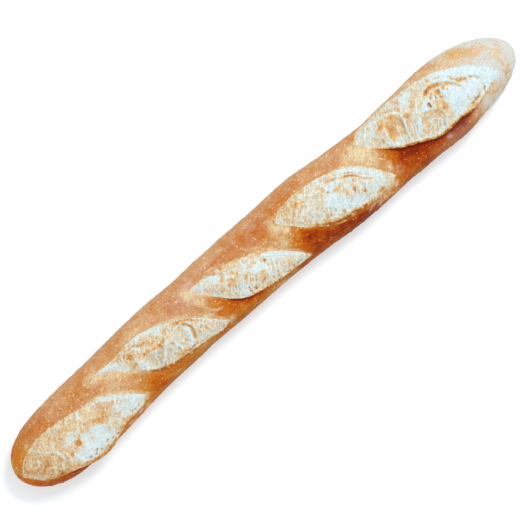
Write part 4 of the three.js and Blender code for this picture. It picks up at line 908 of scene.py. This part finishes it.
        ("line", [(289.5, -0.4), (292.5, -2.4), (295, -5.4), (296.6, -9.6)], 1.3, -0.9, 0.26, -0.7, 0.3), ("line", [(297, -11), (295.6, -14), (298, -17)], 0.8, -0.5, 0.1, -0.4, 0.35),
        ("shelf", [(262, 23), (275, 14), (283, 4), (292, -0.5), (298, -9)], 5.0, 1.0, 0.0, 0.0, 0.0),
        ("line", [(258, 24.5), (270, 19.5), (282, 13), (293, 5.5), (303, -4), (308, -14)], 6.0, 0.2, -0.4, 1.0, 0.0),
        ("pit", (282, -22), (5.2, 1.6), 14, -1.3, 0.2, -0.6, 0.75), ("pit", (276, -23), (2.0, 1.3), 0, -0.9, 0.1, -0.5, 0.6), ("pit", (295, -19), (2.8, 1.6), 20, -1.2, 0.34, -0.6, 0.5), ("pit", (287.5, -20), (1.4, 1.0), 0, -0.7, 0.2, -0.4, 0.4),
        ("line", [(200, 28), (206, 24.6), (211, 20.6), (214, 17)], 1.2, 0.6, -0.15, 0.5, 0.0), ("line", [(201, 27), (208, 27), (216, 24.6)], 0.9, -0.3, 0.26, -0.1, 0.0), ("line", [(205, 24), (212, 24), (218, 21)], 0.8, -0.3, 0.22, 0.0, 0.0),
        ("spot", (225, 25), (3.2, 4.0), 0, 0.1, -0.3, 0.75, 0.0), ("spot", (231.5, 26.5), (2.8, 3.0), 0, 0.1, -0.3, 0.75, 0.0), ("glow", (221, 19), (4, 3), 30, 0.0, -0.2, 0.5, 0.0),
        ("glow", (244, 24), (9, 5), -10, 0.0, 0.02, 0.2, 0.0), ("glow", (252, 22), (6, 3), -20, 0.0, 0.10, 0.1, 0.0), ("pit", (256, 24), (1.4, 1.0), 0, -0.4, 0.1, 0.0, 0.35),
        ("glow", (204, -12), (6, 2.4), -25, 0.2, 0.30, -0.2, 0.0), ("line", [(196, -9), (206, -12.5), (218, -18.5), (228, -24.5)], 1.4, 0.5, -0.1, 0.45, 0.0),
        ("spot", (205, -7), (1.4, 1.6), 0, -0.5, 0.1, 0.0, 0.5), ("spot", (240, -26), (8, 1.0), 0, 0.2, 0.14, 0.0, 0.0), ("glow", (270, -26), (16, 1.6), 4, 0.2, 0.26, -0.4, 0.0),
    ],
}  # fmt: skip

# How toasted each score is by itself, how speckled, and how far the speckles reach towards its low side.
TONE = {"a": (0.472, 0.18, 0.62), "b": (0.425, 0.12, 0.42), "c": (0.38, 0.10, 0.40), "d": (0.38, 0.10, 0.36), "e": (0.40, 0.10, 0.34)}

# Where threads of crumb run side by side: place, half-sizes, degrees, and how clearly.
THREADS = {
    "a": [((-240, -30), (26, 8), -10, 0.3)],
    "b": [((-68, -16), (16, 8), -35, 0.6), ((-128, 6), (12, 10), 0, 0.3), ((-96, -8), (9, 12), 0, 0.3)],
    "c": [((-14, -10), (16, 9), -35, 0.8), ((24, -16), (16, 9), -25, 0.3), ((-46, 12), (12, 8), -45, 0.3)],
    "d": [((72, 4), (20, 13), -40, 0.4), ((138, -13), (10, 12), -30, 0.6), ((118, -8), (16, 9), -20, 0.3)],
    "e": [((206, 2), (18, 16), -20, 0.5), ((178, 18), (14, 12), -40, 0.5), ((240, -20), (12, 8), 0, 0.5), ((262, 0), (10, 12), 0, 0.4)],
}
LIP_FROM = {"a": 0.92, "b": 0.92, "c": 0.94, "d": 0.90, "e": 0.94}
# How dark and wide the crust of each ear's lip shows from above, along its low edge.
LIP = {
    "a": [(0, 0.0), (0.1, 0.2), (0.3, 0.35), (0.5, 0.4), (0.7, 0.35), (0.85, 0.2), (1, 0.1)],
    "b": [(0, 0.0), (0.3, 0.1), (0.42, 0.8), (0.7, 0.8), (0.9, 0.4), (1, 0.2)],
    "c": [(0, 0.0), (0.4, 0.05), (0.5, 0.6), (0.7, 0.8), (0.95, 0.7), (1, 0.3)],
    "d": [(0, 0.0), (0.2, 0.1), (0.32, 0.7), (0.7, 0.8), (0.8, 0.3), (1, 0.1)],
    "e": [(0, 0.0), (0.12, 0.2), (0.25, 0.75), (0.5, 0.8), (0.8, 0.75), (0.88, 0.2), (1, 0)],
}


def draw(s, t, marks):
    """The marks' lift, toast, paleness and painted shade in hollows, added up, and where the larger bowls keep the
    crumb smooth.
    """
    lift, toast, pale, hollow_shade, still = (np.zeros_like(s) for _ in range(5))
    for kind, *how, up, browner, paler, deeper in marks:
        if kind in ("line", "shelf"):
            points, width = how
            d, u = to_line(s, t, curve(points, step=0.8), 4 * width + 3)
            taper = smooth(-0.01, 0.14, u) * smooth(1.01, 0.86, u)
            if kind == "line":
                w = shape = np.exp(-((d / width) ** 2)) * taper
            else:
                w = shape = smooth(-0.9, 0.9, d) * np.exp(-np.maximum(d, 0) / width) * taper * (d < 1e8)
        elif kind == "pit":
            r = radius(s, t, *how)
            bowl = np.clip(1 - r * r, 0, 1) ** 0.75
            shape = bowl - 0.20 * np.exp(-(((r - 1.12) / 0.2) ** 2))
            w = 1 - smooth(0.45, 1.25, r)
            if min(how[1]) > 2.9:
                still = np.maximum(still, w)
        elif kind == "ring":
            at, size, deg, width = how
            w = shape = np.exp(-(((radius(s, t, at, size, deg) - 1) / width) ** 2))
        else:
            w = shape = (spot if kind == "spot" else glow)(s, t, *how)
        lift += 1.0 * up * shape
        toast += 0.72 * browner * w
        pale += paler * w
        hollow_shade += 0.8 * deeper * w
    return lift, toast, pale, hollow_shade, still


def crumb(key, s, t, v, into, u):
    """Relief in millimetres and the fields of a score's open crumb."""
    one, zero = SCORES[key], np.zeros_like(s)
    seed = 100 * (ord(key) - 96)
    ws, wt = ragged(s, t, seed, 0.8, 1.2)
    ws, wt = ragged(ws, wt, seed + 40, 0.28, 0.6)
    lift, toast, pale, hollow_shade, still = draw(ws, wt, MARKS[key])
    base, speckled, reach = TONE[key]

    bs, bt = ws + 2.5 * fractal(s, t, zero, 22, 2, seed + 9), wt + 2.0 * fractal(s, t, zero, 18, 2, seed + 19)
    turn = math.radians(one["ribs"])  # which way the ribs run: down them, and from one to the next
    along, across = bs * math.cos(turn) + bt * math.sin(turn), bs * math.sin(turn) - bt * math.cos(turn)
    lower = smooth(0.28, 0.6, v)
    calm = (1 - 0.6 * np.clip(pale, 0, 1)) * (1 - 0.75 * still)
    patch = smooth(-0.25, 0.35, fractal(s, t, zero, 16, 2, seed + 3))

    # Skins stretched between threads: each has its own tone, and the threads stand out between them.
    relief, walls, tone = zero.copy(), zero.copy(), zero.copy()
    for size, long, much, k in ((8.0, 1.5, 1.0, 21), (4.6, 1.3, 0.75, 22), (2.7, 1.1, 0.5, 23)):
        d, far, number = cells(across / size, along / (size * long), seed + k)
        here = much * smooth(-0.35, 0.25, fractal(s, t, zero, 13, 2, seed + k + 30)) * calm * (0.7 if key == "a" else 0.85)
        wall = 1 - smooth(0.02, 0.22 if k > 21 else 0.14, far - d)
        relief += here * (0.42 * wall - 0.34 * (1 - smooth(0.08, 0.5, d)))
        walls = np.maximum(walls, wall * here)
        tone += here * (number - 0.5) * smooth(0.04, 0.2, far - d)

    # Threads side by side.
    threads = zero.copy()
    for at, size, deg, much in THREADS[key]:
        threads = np.maximum(threads, much * glow(s, t, at, size, deg))
    ribs = 1 - 2.2 * np.abs(perlin(across / 2.4, along / 11, zero, seed + 11))
    thin = 1 - 2.2 * np.abs(perlin(across / 1.4, along / 7, zero, seed + 12))
    combed = np.clip(0.6 * ribs + 0.5 * thin, -0.7, 1) * threads * (0.5 + 0.5 * patch)
    relief += 0.45 * combed * (1 - 0.6 * still)
    relief += 0.32 * fractal(s, t, zero, 11, 2, seed + 1) + 0.26 * fractal(s, t, zero, 3.4, 3, seed + 2, 0.6) * (0.4 + 0.6 * calm)

    # Toasted in patches and specks, most where it lay open longest, and along the lip.
    mosaic = fractal(s, t, zero, 5.2, 3, seed + 6, 0.62)
    flecks = smooth(0.05, 0.55, fractal(s, t, zero, 3.6, 3, seed + 24, 0.7))
    open_long = smooth(reach + 0.12, reach - 0.12, v + 0.08 * fractal(s, t, zero, 14, 2, seed + 5))
    toast = toast + base + speckled * flecks * (0.25 + 0.75 * open_long) * calm
    toast = toast + (0.18 * fractal(s, t, zero, 13, 2, seed + 4) + 0.26 * mosaic) * (0.45 + 0.55 * calm)
    toast = toast + 0.24 * tone - 0.12 * walls - 0.12 * combed
    lip = np.interp(u, *zip(*LIP[key])) * smooth(LIP_FROM[key], LIP_FROM[key] + 0.05, v + 0.02 * mosaic)
    toast = toast + lip * (0.75 + 0.9 * fractal(s, t, zero, 5, 3, seed + 7, 0.7))
    pale = pale + 0.05 * lower * (key != "a") + 0.24 * smooth(0.0, 0.5, fractal(s, t, zero, 8, 3, seed + 8, 0.7)) * (key != "a")
    pale = pale + (0.30 * mosaic + 0.14 * fractal(s, t, zero, 2.6, 2, seed + 10)) * np.clip(2.2 * pale, 0, 1)
    pale = pale * (1 - 0.45 * smooth(0.05, 0.6, fractal(s, t, zero, 6, 3, seed + 13, 0.7)))
    pale = pale + 0.30 * walls + 0.22 * np.clip(combed - 0.1, 0, 1)
    pale = pale + 0.5 * smooth(0.90, 0.97, v) * smooth(0.45, 0.2, u) * (key in "bcd")
    tip = smooth(288, 303, s)  # where the last score runs out into the floury end
    toast, pale = toast * (1 - 0.8 * tip), pale + 0.85 * tip
    first = np.exp(-(((into - 0.7) / 0.6) ** 2))
    pale = pale + 0.14 * first * (key != "a") - 1.2 * lip

    # Painted light and shade from the relief: what stands out is made paler and less toasted, what lies deep more
    # toasted and given painted shade.
    relief = relief + lift
    level = relief
    for _ in range(30):
        wide = np.pad(level, 1, mode="edge")
        level = (wide[:-2, 1:-1] + wide[2:, 1:-1] + wide[1:-1, :-2] + wide[1:-1, 2:]) / 4
    stands = np.clip((relief - level) / 0.3, -1.2, 1.2)
    toast = toast - 0.07 * stands
    pale = pale + 0.13 * np.maximum(stands, 0) * (1 - lip)
    hollow_shade = hollow_shade + 0.14 * np.maximum(-stands - 0.35, 0)
    # Painted light: two patches of white crumb that slope away from the lamp are made brighter.
    painted_light = glow(s, t, (-228, -30), (28, 11), -12) + 0.8 * glow(s, t, (10, -6), (13, 8), -30)
    return relief, {"toast": toast, "pale": np.clip(pale, 0, 1), "hollow_shade": np.clip(hollow_shade, 0, 1), "painted_light": painted_light}


# ---------------------------------------------------------------------------------------------------------
# Materials
# ---------------------------------------------------------------------------------------------------------
GAIN = 1.25  # light on a level surface, so that a colour seen is a colour made


def seen(r, g, b):
    """The base colour that looks like this sRGB colour under the scene's light."""
    c = [v / 255 for v in (r, g, b)]
    c = [v / 12.92 if v <= 0.04045 else ((v + 0.055) / 1.055) ** 2.4 for v in c]
    return (*(min(0.95, v / GAIN) for v in c), 1.0)


class Nodes:
    """A short way to write a node tree."""

    def __init__(self, name):
        self.material = bpy.data.materials.new(name)
        self.material.use_nodes = True
        self.tree = self.material.node_tree
        self.tree.nodes.clear()

    def node(self, kind, **settings):
        n = self.tree.nodes.new(kind)
        for key, value in settings.items():
            setattr(n, key, value)
        return n

    def put(self, socket, value):
        if isinstance(value, bpy.types.NodeSocket):
            self.tree.links.new(value, socket)
        else:
            socket.default_value = value

    def field(self, name):
        return self.node("ShaderNodeAttribute", attribute_name=name).outputs["Fac"]

    def math(self, operation, a, b=0.0, c=0.0, clamp=False):
        n = self.node("ShaderNodeMath", operation=operation, use_clamp=clamp)
        for socket, value in zip(n.inputs, (a, b, c)):
            self.put(socket, value)
        return n.outputs[0]

    def scaled(self, value, by, plus=0.0):
        return self.math("MULTIPLY_ADD", value, by, plus)

    def step(self, value, low, high, to_low=0.0, to_high=1.0):
        n = self.node("ShaderNodeMapRange", interpolation_type="SMOOTHSTEP")
        for socket, x in zip(n.inputs, (value, low, high, to_low, to_high)):
            self.put(socket, x)
        return n.outputs[0]

    def mix(self, share, a, b, blend="MIX"):
        n = self.node("ShaderNodeMix", data_type="RGBA", blend_type=blend, clamp_factor=True)
        self.put(n.inputs[0], share)
        self.put(n.inputs[6], a)
        self.put(n.inputs[7], b)
        return n.outputs[2]

    def ramp(self, value, stops):
        n = self.node("ShaderNodeValToRGB")
        e = n.color_ramp.elements
        while len(e) < len(stops):
            e.new(0.5)
        for el, (at, colour) in zip(e, stops):
            el.position = at
        for el, (at, colour) in zip(sorted(e, key=lambda q: q.position), stops):
            el.color = colour
        self.put(n.inputs[0], value)
        return n.outputs[0]

    def noise(self, vector, size, detail=2.0, rough=0.5, distortion=0.0):
        n = self.node("ShaderNodeTexNoise")
        self.put(n.inputs["Vector"], vector)
        n.inputs["Scale"].default_value = 1.0 / size
        n.inputs["Detail"].default_value = detail
        n.inputs["Roughness"].default_value = rough
        n.inputs["Distortion"].default_value = distortion
        return n.outputs["Fac"]

    def cell(self, vector, size, output="Distance", feature="F1"):
        n = self.node("ShaderNodeTexVoronoi", feature=feature)
        self.put(n.inputs["Vector"], vector)
        n.inputs["Scale"].default_value = 1.0 / size
        return n.outputs[output]


def bread(name):
    n = Nodes(name)
    where = n.node("ShaderNodeTexCoord").outputs["Object"]
    bake, red, flour, halo = (n.field(k) for k in ("bake", "red", "flour", "halo"))
    edge, rind, toast, pale, hollow_shade = (n.field(k) for k in ("edge", "rind", "toast", "pale", "hollow_shade"))
    along, across = n.field("along"), n.field("across")

    mottle = n.noise(where, 0.007, 3, 0.55)
    grain = n.noise(where, 0.0019, 3, 0.65)
    dust = n.noise(where, 0.0012, 2, 0.6)

    # Crust: browned by how far it baked, freckled with pale blisters, paler where it stretched, dusted.
    baked = n.math("ADD", bake, n.math("MULTIPLY", n.scaled(n.math("SUBTRACT", mottle, 0.5), 0.44), n.step(bake, 0.55, 0.85, 1.0, 0.45)))
    shake = n.node("ShaderNodeTexNoise")
    n.put(shake.inputs["Vector"], where)
    shake.inputs["Scale"].default_value = 1.0 / 0.0016
    uneasy = n.node("ShaderNodeVectorMath", operation="MULTIPLY_ADD")
    n.put(uneasy.inputs[0], shake.outputs["Color"])
    uneasy.inputs[1].default_value = (0.0017, 0.0017, 0.0017)
    n.put(uneasy.inputs[2], where)
    spots = uneasy.outputs[0]
    freckle = n.cell(spots, 0.0037)
    chosen = n.node("ShaderNodeSeparateColor")
    n.put(chosen.inputs[0], n.cell(spots, 0.0037, "Color"))
    fleck = n.math("MULTIPLY", n.step(freckle, 0.30, 0.14), n.step(chosen.outputs[0], 0.64, 0.72))
    small = n.cell(spots, 0.0024)
    pick = n.node("ShaderNodeSeparateColor")
    n.put(pick.inputs[0], n.cell(spots, 0.0024, "Color"))
    fleck2 = n.math("MULTIPLY", n.step(small, 0.34, 0.16), n.step(pick.outputs[1], 0.54, 0.64))
    flow = n.noise(where, 0.0065, 1, 0.5, 0.4)
    stroke = n.math("MULTIPLY", n.step(n.math("ABSOLUTE", n.math("SUBTRACT", flow, 0.5)), 0.022, 0.006), n.step(n.noise(where, 0.008, 1), 0.56, 0.64))
    strokes = n.math("ADD", n.math("ADD", fleck, n.scaled(fleck2, 0.7)), n.scaled(stroke, 0.7))
    calm = n.step(bake, 0.55, 0.9, 1.0, 0.75)
    speckle = n.scaled(strokes, -0.26)
    speckle = n.math("ADD", speckle, n.scaled(n.math("SUBTRACT", grain, 0.46), 0.34))
    baked = n.math("ADD", baked, n.math("MULTIPLY", speckle, calm))
    colour = n.ramp(
        baked,
        [
            (0.0, seen(238, 222, 192)), (0.16, seen(232, 204, 162)), (0.3, seen(224, 183, 134)), (0.42, seen(214, 161, 106)),
            (0.54, seen(208, 143, 80)), (0.66, seen(207, 123, 38)), (0.78, seen(195, 97, 10)), (0.89, seen(172, 67, 5)), (1.0, seen(134, 36, 2)),
        ],
    )  # fmt: skip
    colour = n.mix(n.math("MULTIPLY", red, 0.5, clamp=True), colour, n.mix(1.0, colour, n.mix(n.step(bake, 0.58, 0.8), (0.95, 0.85, 1.12, 1), (1.0, 0.82, 0.75, 1)), "MULTIPLY"))
    colour = n.mix(n.math("MULTIPLY", red, -1.0, clamp=True), colour, n.mix(1.0, colour, (1.0, 0.97, 0.66, 1), "MULTIPLY"))
    colour = n.mix(n.step(red, -2.9, -4.0), colour, n.mix(1.0, colour, (1.12, 1.05, 1.0, 1), "MULTIPLY"))
    # Painted shade on the low flank: the colour is made darker and cooler there.
    colour = n.mix(n.field("painted_flank_shade"), colour, n.mix(1.0, colour, (0.70, 0.82, 1.18, 1), "MULTIPLY"))
    uneven = n.math("ADD", n.scaled(n.math("SUBTRACT", grain, 0.5), 0.8), n.scaled(n.math("SUBTRACT", mottle, 0.5), 0.7))
    stretched = n.math("ADD", halo, uneven, clamp=True)
    colour = n.mix(n.math("MULTIPLY", stretched, n.step(halo, 0.08, 0.35)), colour, seen(234, 213, 172))
    dusted = n.math("MULTIPLY", flour, n.step(dust, 0.25, 0.75, 0.75, 1.1), clamp=True)
    colour = n.mix(dusted, colour, n.mix(n.step(dusted, 0.25, 0.7), seen(212, 196, 176), seen(216, 217, 214)))

    # Crumb: cream, toasted tan where it stands out, blueish white where it was stretched last.
    lines = n.node("ShaderNodeCombineXYZ")
    n.put(lines.inputs[0], n.math("ADD", n.scaled(along, 0.80), n.scaled(across, -0.60)))
    n.put(lines.inputs[1], n.math("ADD", n.scaled(along, 0.10), n.scaled(across, 0.13)))
    streak = n.noise(lines.outputs[0], 1.5, 3, 0.65)
    strand = n.step(n.math("ABSOLUTE", n.math("SUBTRACT", n.noise(lines.outputs[0], 2.0, 1, 0.5, 0.3), 0.5)), 0.13, 0.02)
    lace = n.step(n.math("ABSOLUTE", n.math("SUBTRACT", n.noise(where, 0.0034, 1, 0.5, 0.8), 0.5)), 0.09, 0.01)
    web = n.math("MAXIMUM", n.scaled(strand, 0.9), n.scaled(lace, 0.8))
    warp = n.node("ShaderNodeVectorMath", operation="MULTIPLY_ADD")
    bend = n.node("ShaderNodeTexNoise")
    n.put(bend.inputs["Vector"], where)
    bend.inputs["Scale"].default_value = 1.0 / 0.005
    bend.inputs["Detail"].default_value = 2.0
    n.put(warp.inputs[0], bend.outputs["Color"])
    warp.inputs[1].default_value = (0.0032, 0.0032, 0.0032)
    n.put(warp.inputs[2], where)
    crinkle = n.math("MULTIPLY", n.step(n.cell(warp.outputs[0], 0.0042, feature="DISTANCE_TO_EDGE"), 0.10, 0.02), n.step(n.noise(where, 0.004, 1), 0.42, 0.58))
    toasted = n.math("ADD", toast, n.scaled(n.math("SUBTRACT", streak, 0.5), 0.11))
    toasted = n.math("ADD", toasted, n.scaled(crinkle, -0.12))
    toasted = n.math("ADD", toasted, n.scaled(n.math("SUBTRACT", grain, 0.5), 0.13))
    toasted = n.math("ADD", toasted, n.scaled(web, -0.14, 0.04))
    inner = n.ramp(
        toasted,
        [
            (0.0, seen(219, 237, 243)), (0.15, seen(225, 230, 219)), (0.3, seen(226, 212, 183)), (0.45, seen(223, 195, 151)),
            (0.6, seen(218, 174, 118)), (0.75, seen(211, 153, 90)), (0.88, seen(196, 128, 58)), (1.0, seen(168, 96, 36)),
        ],
    )  # fmt: skip
    inner = n.mix(n.math("MULTIPLY", pale, 0.92), inner, seen(220, 239, 247))
    inner = n.mix(n.math("MULTIPLY", n.math("MULTIPLY", crinkle, pale), 0.55), inner, seen(206, 208, 188))
    # Painted shade in hollows and pits: the crumb is darkened towards a tan.
    inner = n.mix(n.math("MULTIPLY", hollow_shade, 0.8, clamp=True), inner, seen(184, 148, 108))
    # Painted light: where the field is set, the crumb's colour is made brighter.
    inner = n.mix(n.field("painted_light"), inner, n.mix(1.0, inner, (1.09, 1.09, 1.09, 1), "MULTIPLY"))

    border = n.math("ADD", edge, n.scaled(n.math("SUBTRACT", n.math("ADD", grain, n.scaled(dust, 0.6)), 0.8), 1.1))
    shows = n.math("MULTIPLY", n.step(border, -0.25, 0.25), n.step(rind, 0.7, 0.3))
    colour = n.mix(shows, colour, inner)
    colour = n.mix(n.step(rind, 0.35, 0.9), colour, seen(184, 82, 14))

    # Fine light and dark that leave the hue alone.
    glitter = n.math("ADD", n.scaled(n.math("SUBTRACT", dust, 0.5), 0.70), n.scaled(n.math("SUBTRACT", grain, 0.5), 0.35))
    glitter = n.math("ADD", glitter, n.math("MULTIPLY", n.scaled(strokes, 0.16), n.math("SUBTRACT", 1.0, shows)))
    glitter = n.math("ADD", glitter, n.math("MULTIPLY", n.scaled(web, 0.16, -0.04), shows))
    glitter = n.math("MULTIPLY", glitter, n.scaled(n.math("MULTIPLY", pale, shows), -0.45, 1.0))
    glitter = n.math("MULTIPLY", glitter, n.scaled(n.math("MULTIPLY", dusted, n.math("SUBTRACT", 1.0, shows)), -0.45, 1.0))
    glitter = n.math("MULTIPLY", glitter, n.math("ADD", n.scaled(shows, 0.06, 1.0), n.math("MULTIPLY", n.step(bake, 0.42, 0.72, 0.32, 0.95), n.math("SUBTRACT", 1.0, shows))))
    colour = n.mix(1.0, colour, n.scaled(glitter, 1.0, 1.0), "MULTIPLY")

    bump = n.node("ShaderNodeBump")
    bump.inputs["Strength"].default_value = 0.8
    bump.inputs["Distance"].default_value = 0.0009
    rough = n.math("ADD", n.math("MULTIPLY", n.math("ADD", n.scaled(grain, 0.8), n.scaled(fleck, 0.5)), n.math("SUBTRACT", 1.0, shows)), n.math("MULTIPLY", n.math("ADD", n.math("ADD", n.scaled(streak, 0.4), n.scaled(grain, 0.5)), n.scaled(web, 0.22)), shows))
    n.put(bump.inputs["Height"], rough)
    shader = n.node("ShaderNodeBsdfPrincipled")
    n.put(shader.inputs["Base Color"], colour)
    n.put(shader.inputs["Roughness"], n.scaled(shows, 0.25, 0.58))
    shader.inputs["Specular IOR Level"].default_value = 0.08
    n.put(shader.inputs["Normal"], bump.outputs[0])
    out = n.node("ShaderNodeOutputMaterial")
    n.tree.links.new(shader.outputs[0], out.inputs[0])
    return n.material


# ---------------------------------------------------------------------------------------------------------
# Building
# ---------------------------------------------------------------------------------------------------------
material = bread("bread")
body = crust_body()
pieces = [body] + [bloom(key) for key in SCORES]
for piece in pieces:
    piece.data.materials.append(material)
    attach(piece, "root")
    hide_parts("baguette")

# ---------------------------------------------------------------------------------------------------------
# Floor, light and camera
# ---------------------------------------------------------------------------------------------------------
floor_mesh = bpy.data.meshes.new("floor")
r = 3.0
floor_mesh.from_pydata([(-r, -r, 0), (r, -r, 0), (r, r, 0), (-r, r, 0)], [], [(0, 1, 2, 3)])
floor = bpy.data.objects.new("floor", floor_mesh)
bpy.context.scene.collection.objects.link(floor)
floor.location.z = -0.0002
plain = bpy.data.materials.new("floor")
plain.use_nodes = True
shade = plain.node_tree.nodes["Principled BSDF"]
shade.inputs["Base Color"].default_value = (0.62, 0.69, 0.73, 1)
shade.inputs["Emission Color"].default_value = (0.97, 0.985, 1.0, 1)
shade.inputs["Emission Strength"].default_value = 0.345
shade.inputs["Roughness"].default_value = 1.0
shade.inputs["Specular IOR Level"].default_value = 0.0
floor_mesh.materials.append(plain)

world = bpy.data.worlds.new("world")
bpy.context.scene.world = world
world.use_nodes = True
world.node_tree.nodes["Background"].inputs[0].default_value = (1.0, 0.988, 0.965, 1)
world.node_tree.nodes["Background"].inputs[1].default_value = 0.85


def area_light(name, place, size, power, colour=(1, 1, 1)):
    data = bpy.data.lights.new(name, "AREA")
    data.shape, data.size, data.energy, data.color = "DISK", size, power, colour
    ob = bpy.data.objects.new(name, data)
    bpy.context.scene.collection.objects.link(ob)
    ob.location = place
    away = -ob.location.copy()
    ob.rotation_euler = away.to_track_quat("-Z", "Y").to_euler()
    return ob


area_light("key", (2.25, 0.84, 3.47), 1.3, 91.0, (1.0, 0.985, 0.96))

# The camera looks straight down, turned so that the loaf climbs from low left to high right.
data = bpy.data.cameras.new("camera")
camera = bpy.data.objects.new("camera", data)
bpy.context.scene.collection.objects.link(camera)
bpy.context.scene.camera = camera
DISTANCE, FOCUS_HEIGHT = 2.6, 0.028
data.sensor_width = 36.0
data.lens = 36.0 * DISTANCE / (530 * UNIT * MM)
camera.location = (-0.00165, -0.00638, DISTANCE + FOCUS_HEIGHT)
camera.rotation_euler = (0.0, 0.0, -math.atan2(0.66090874, 0.75046628))
data.clip_start, data.clip_end = 0.05, 20.0

view = bpy.context.scene.view_settings
view.view_transform = "Standard"
view.look = "None"
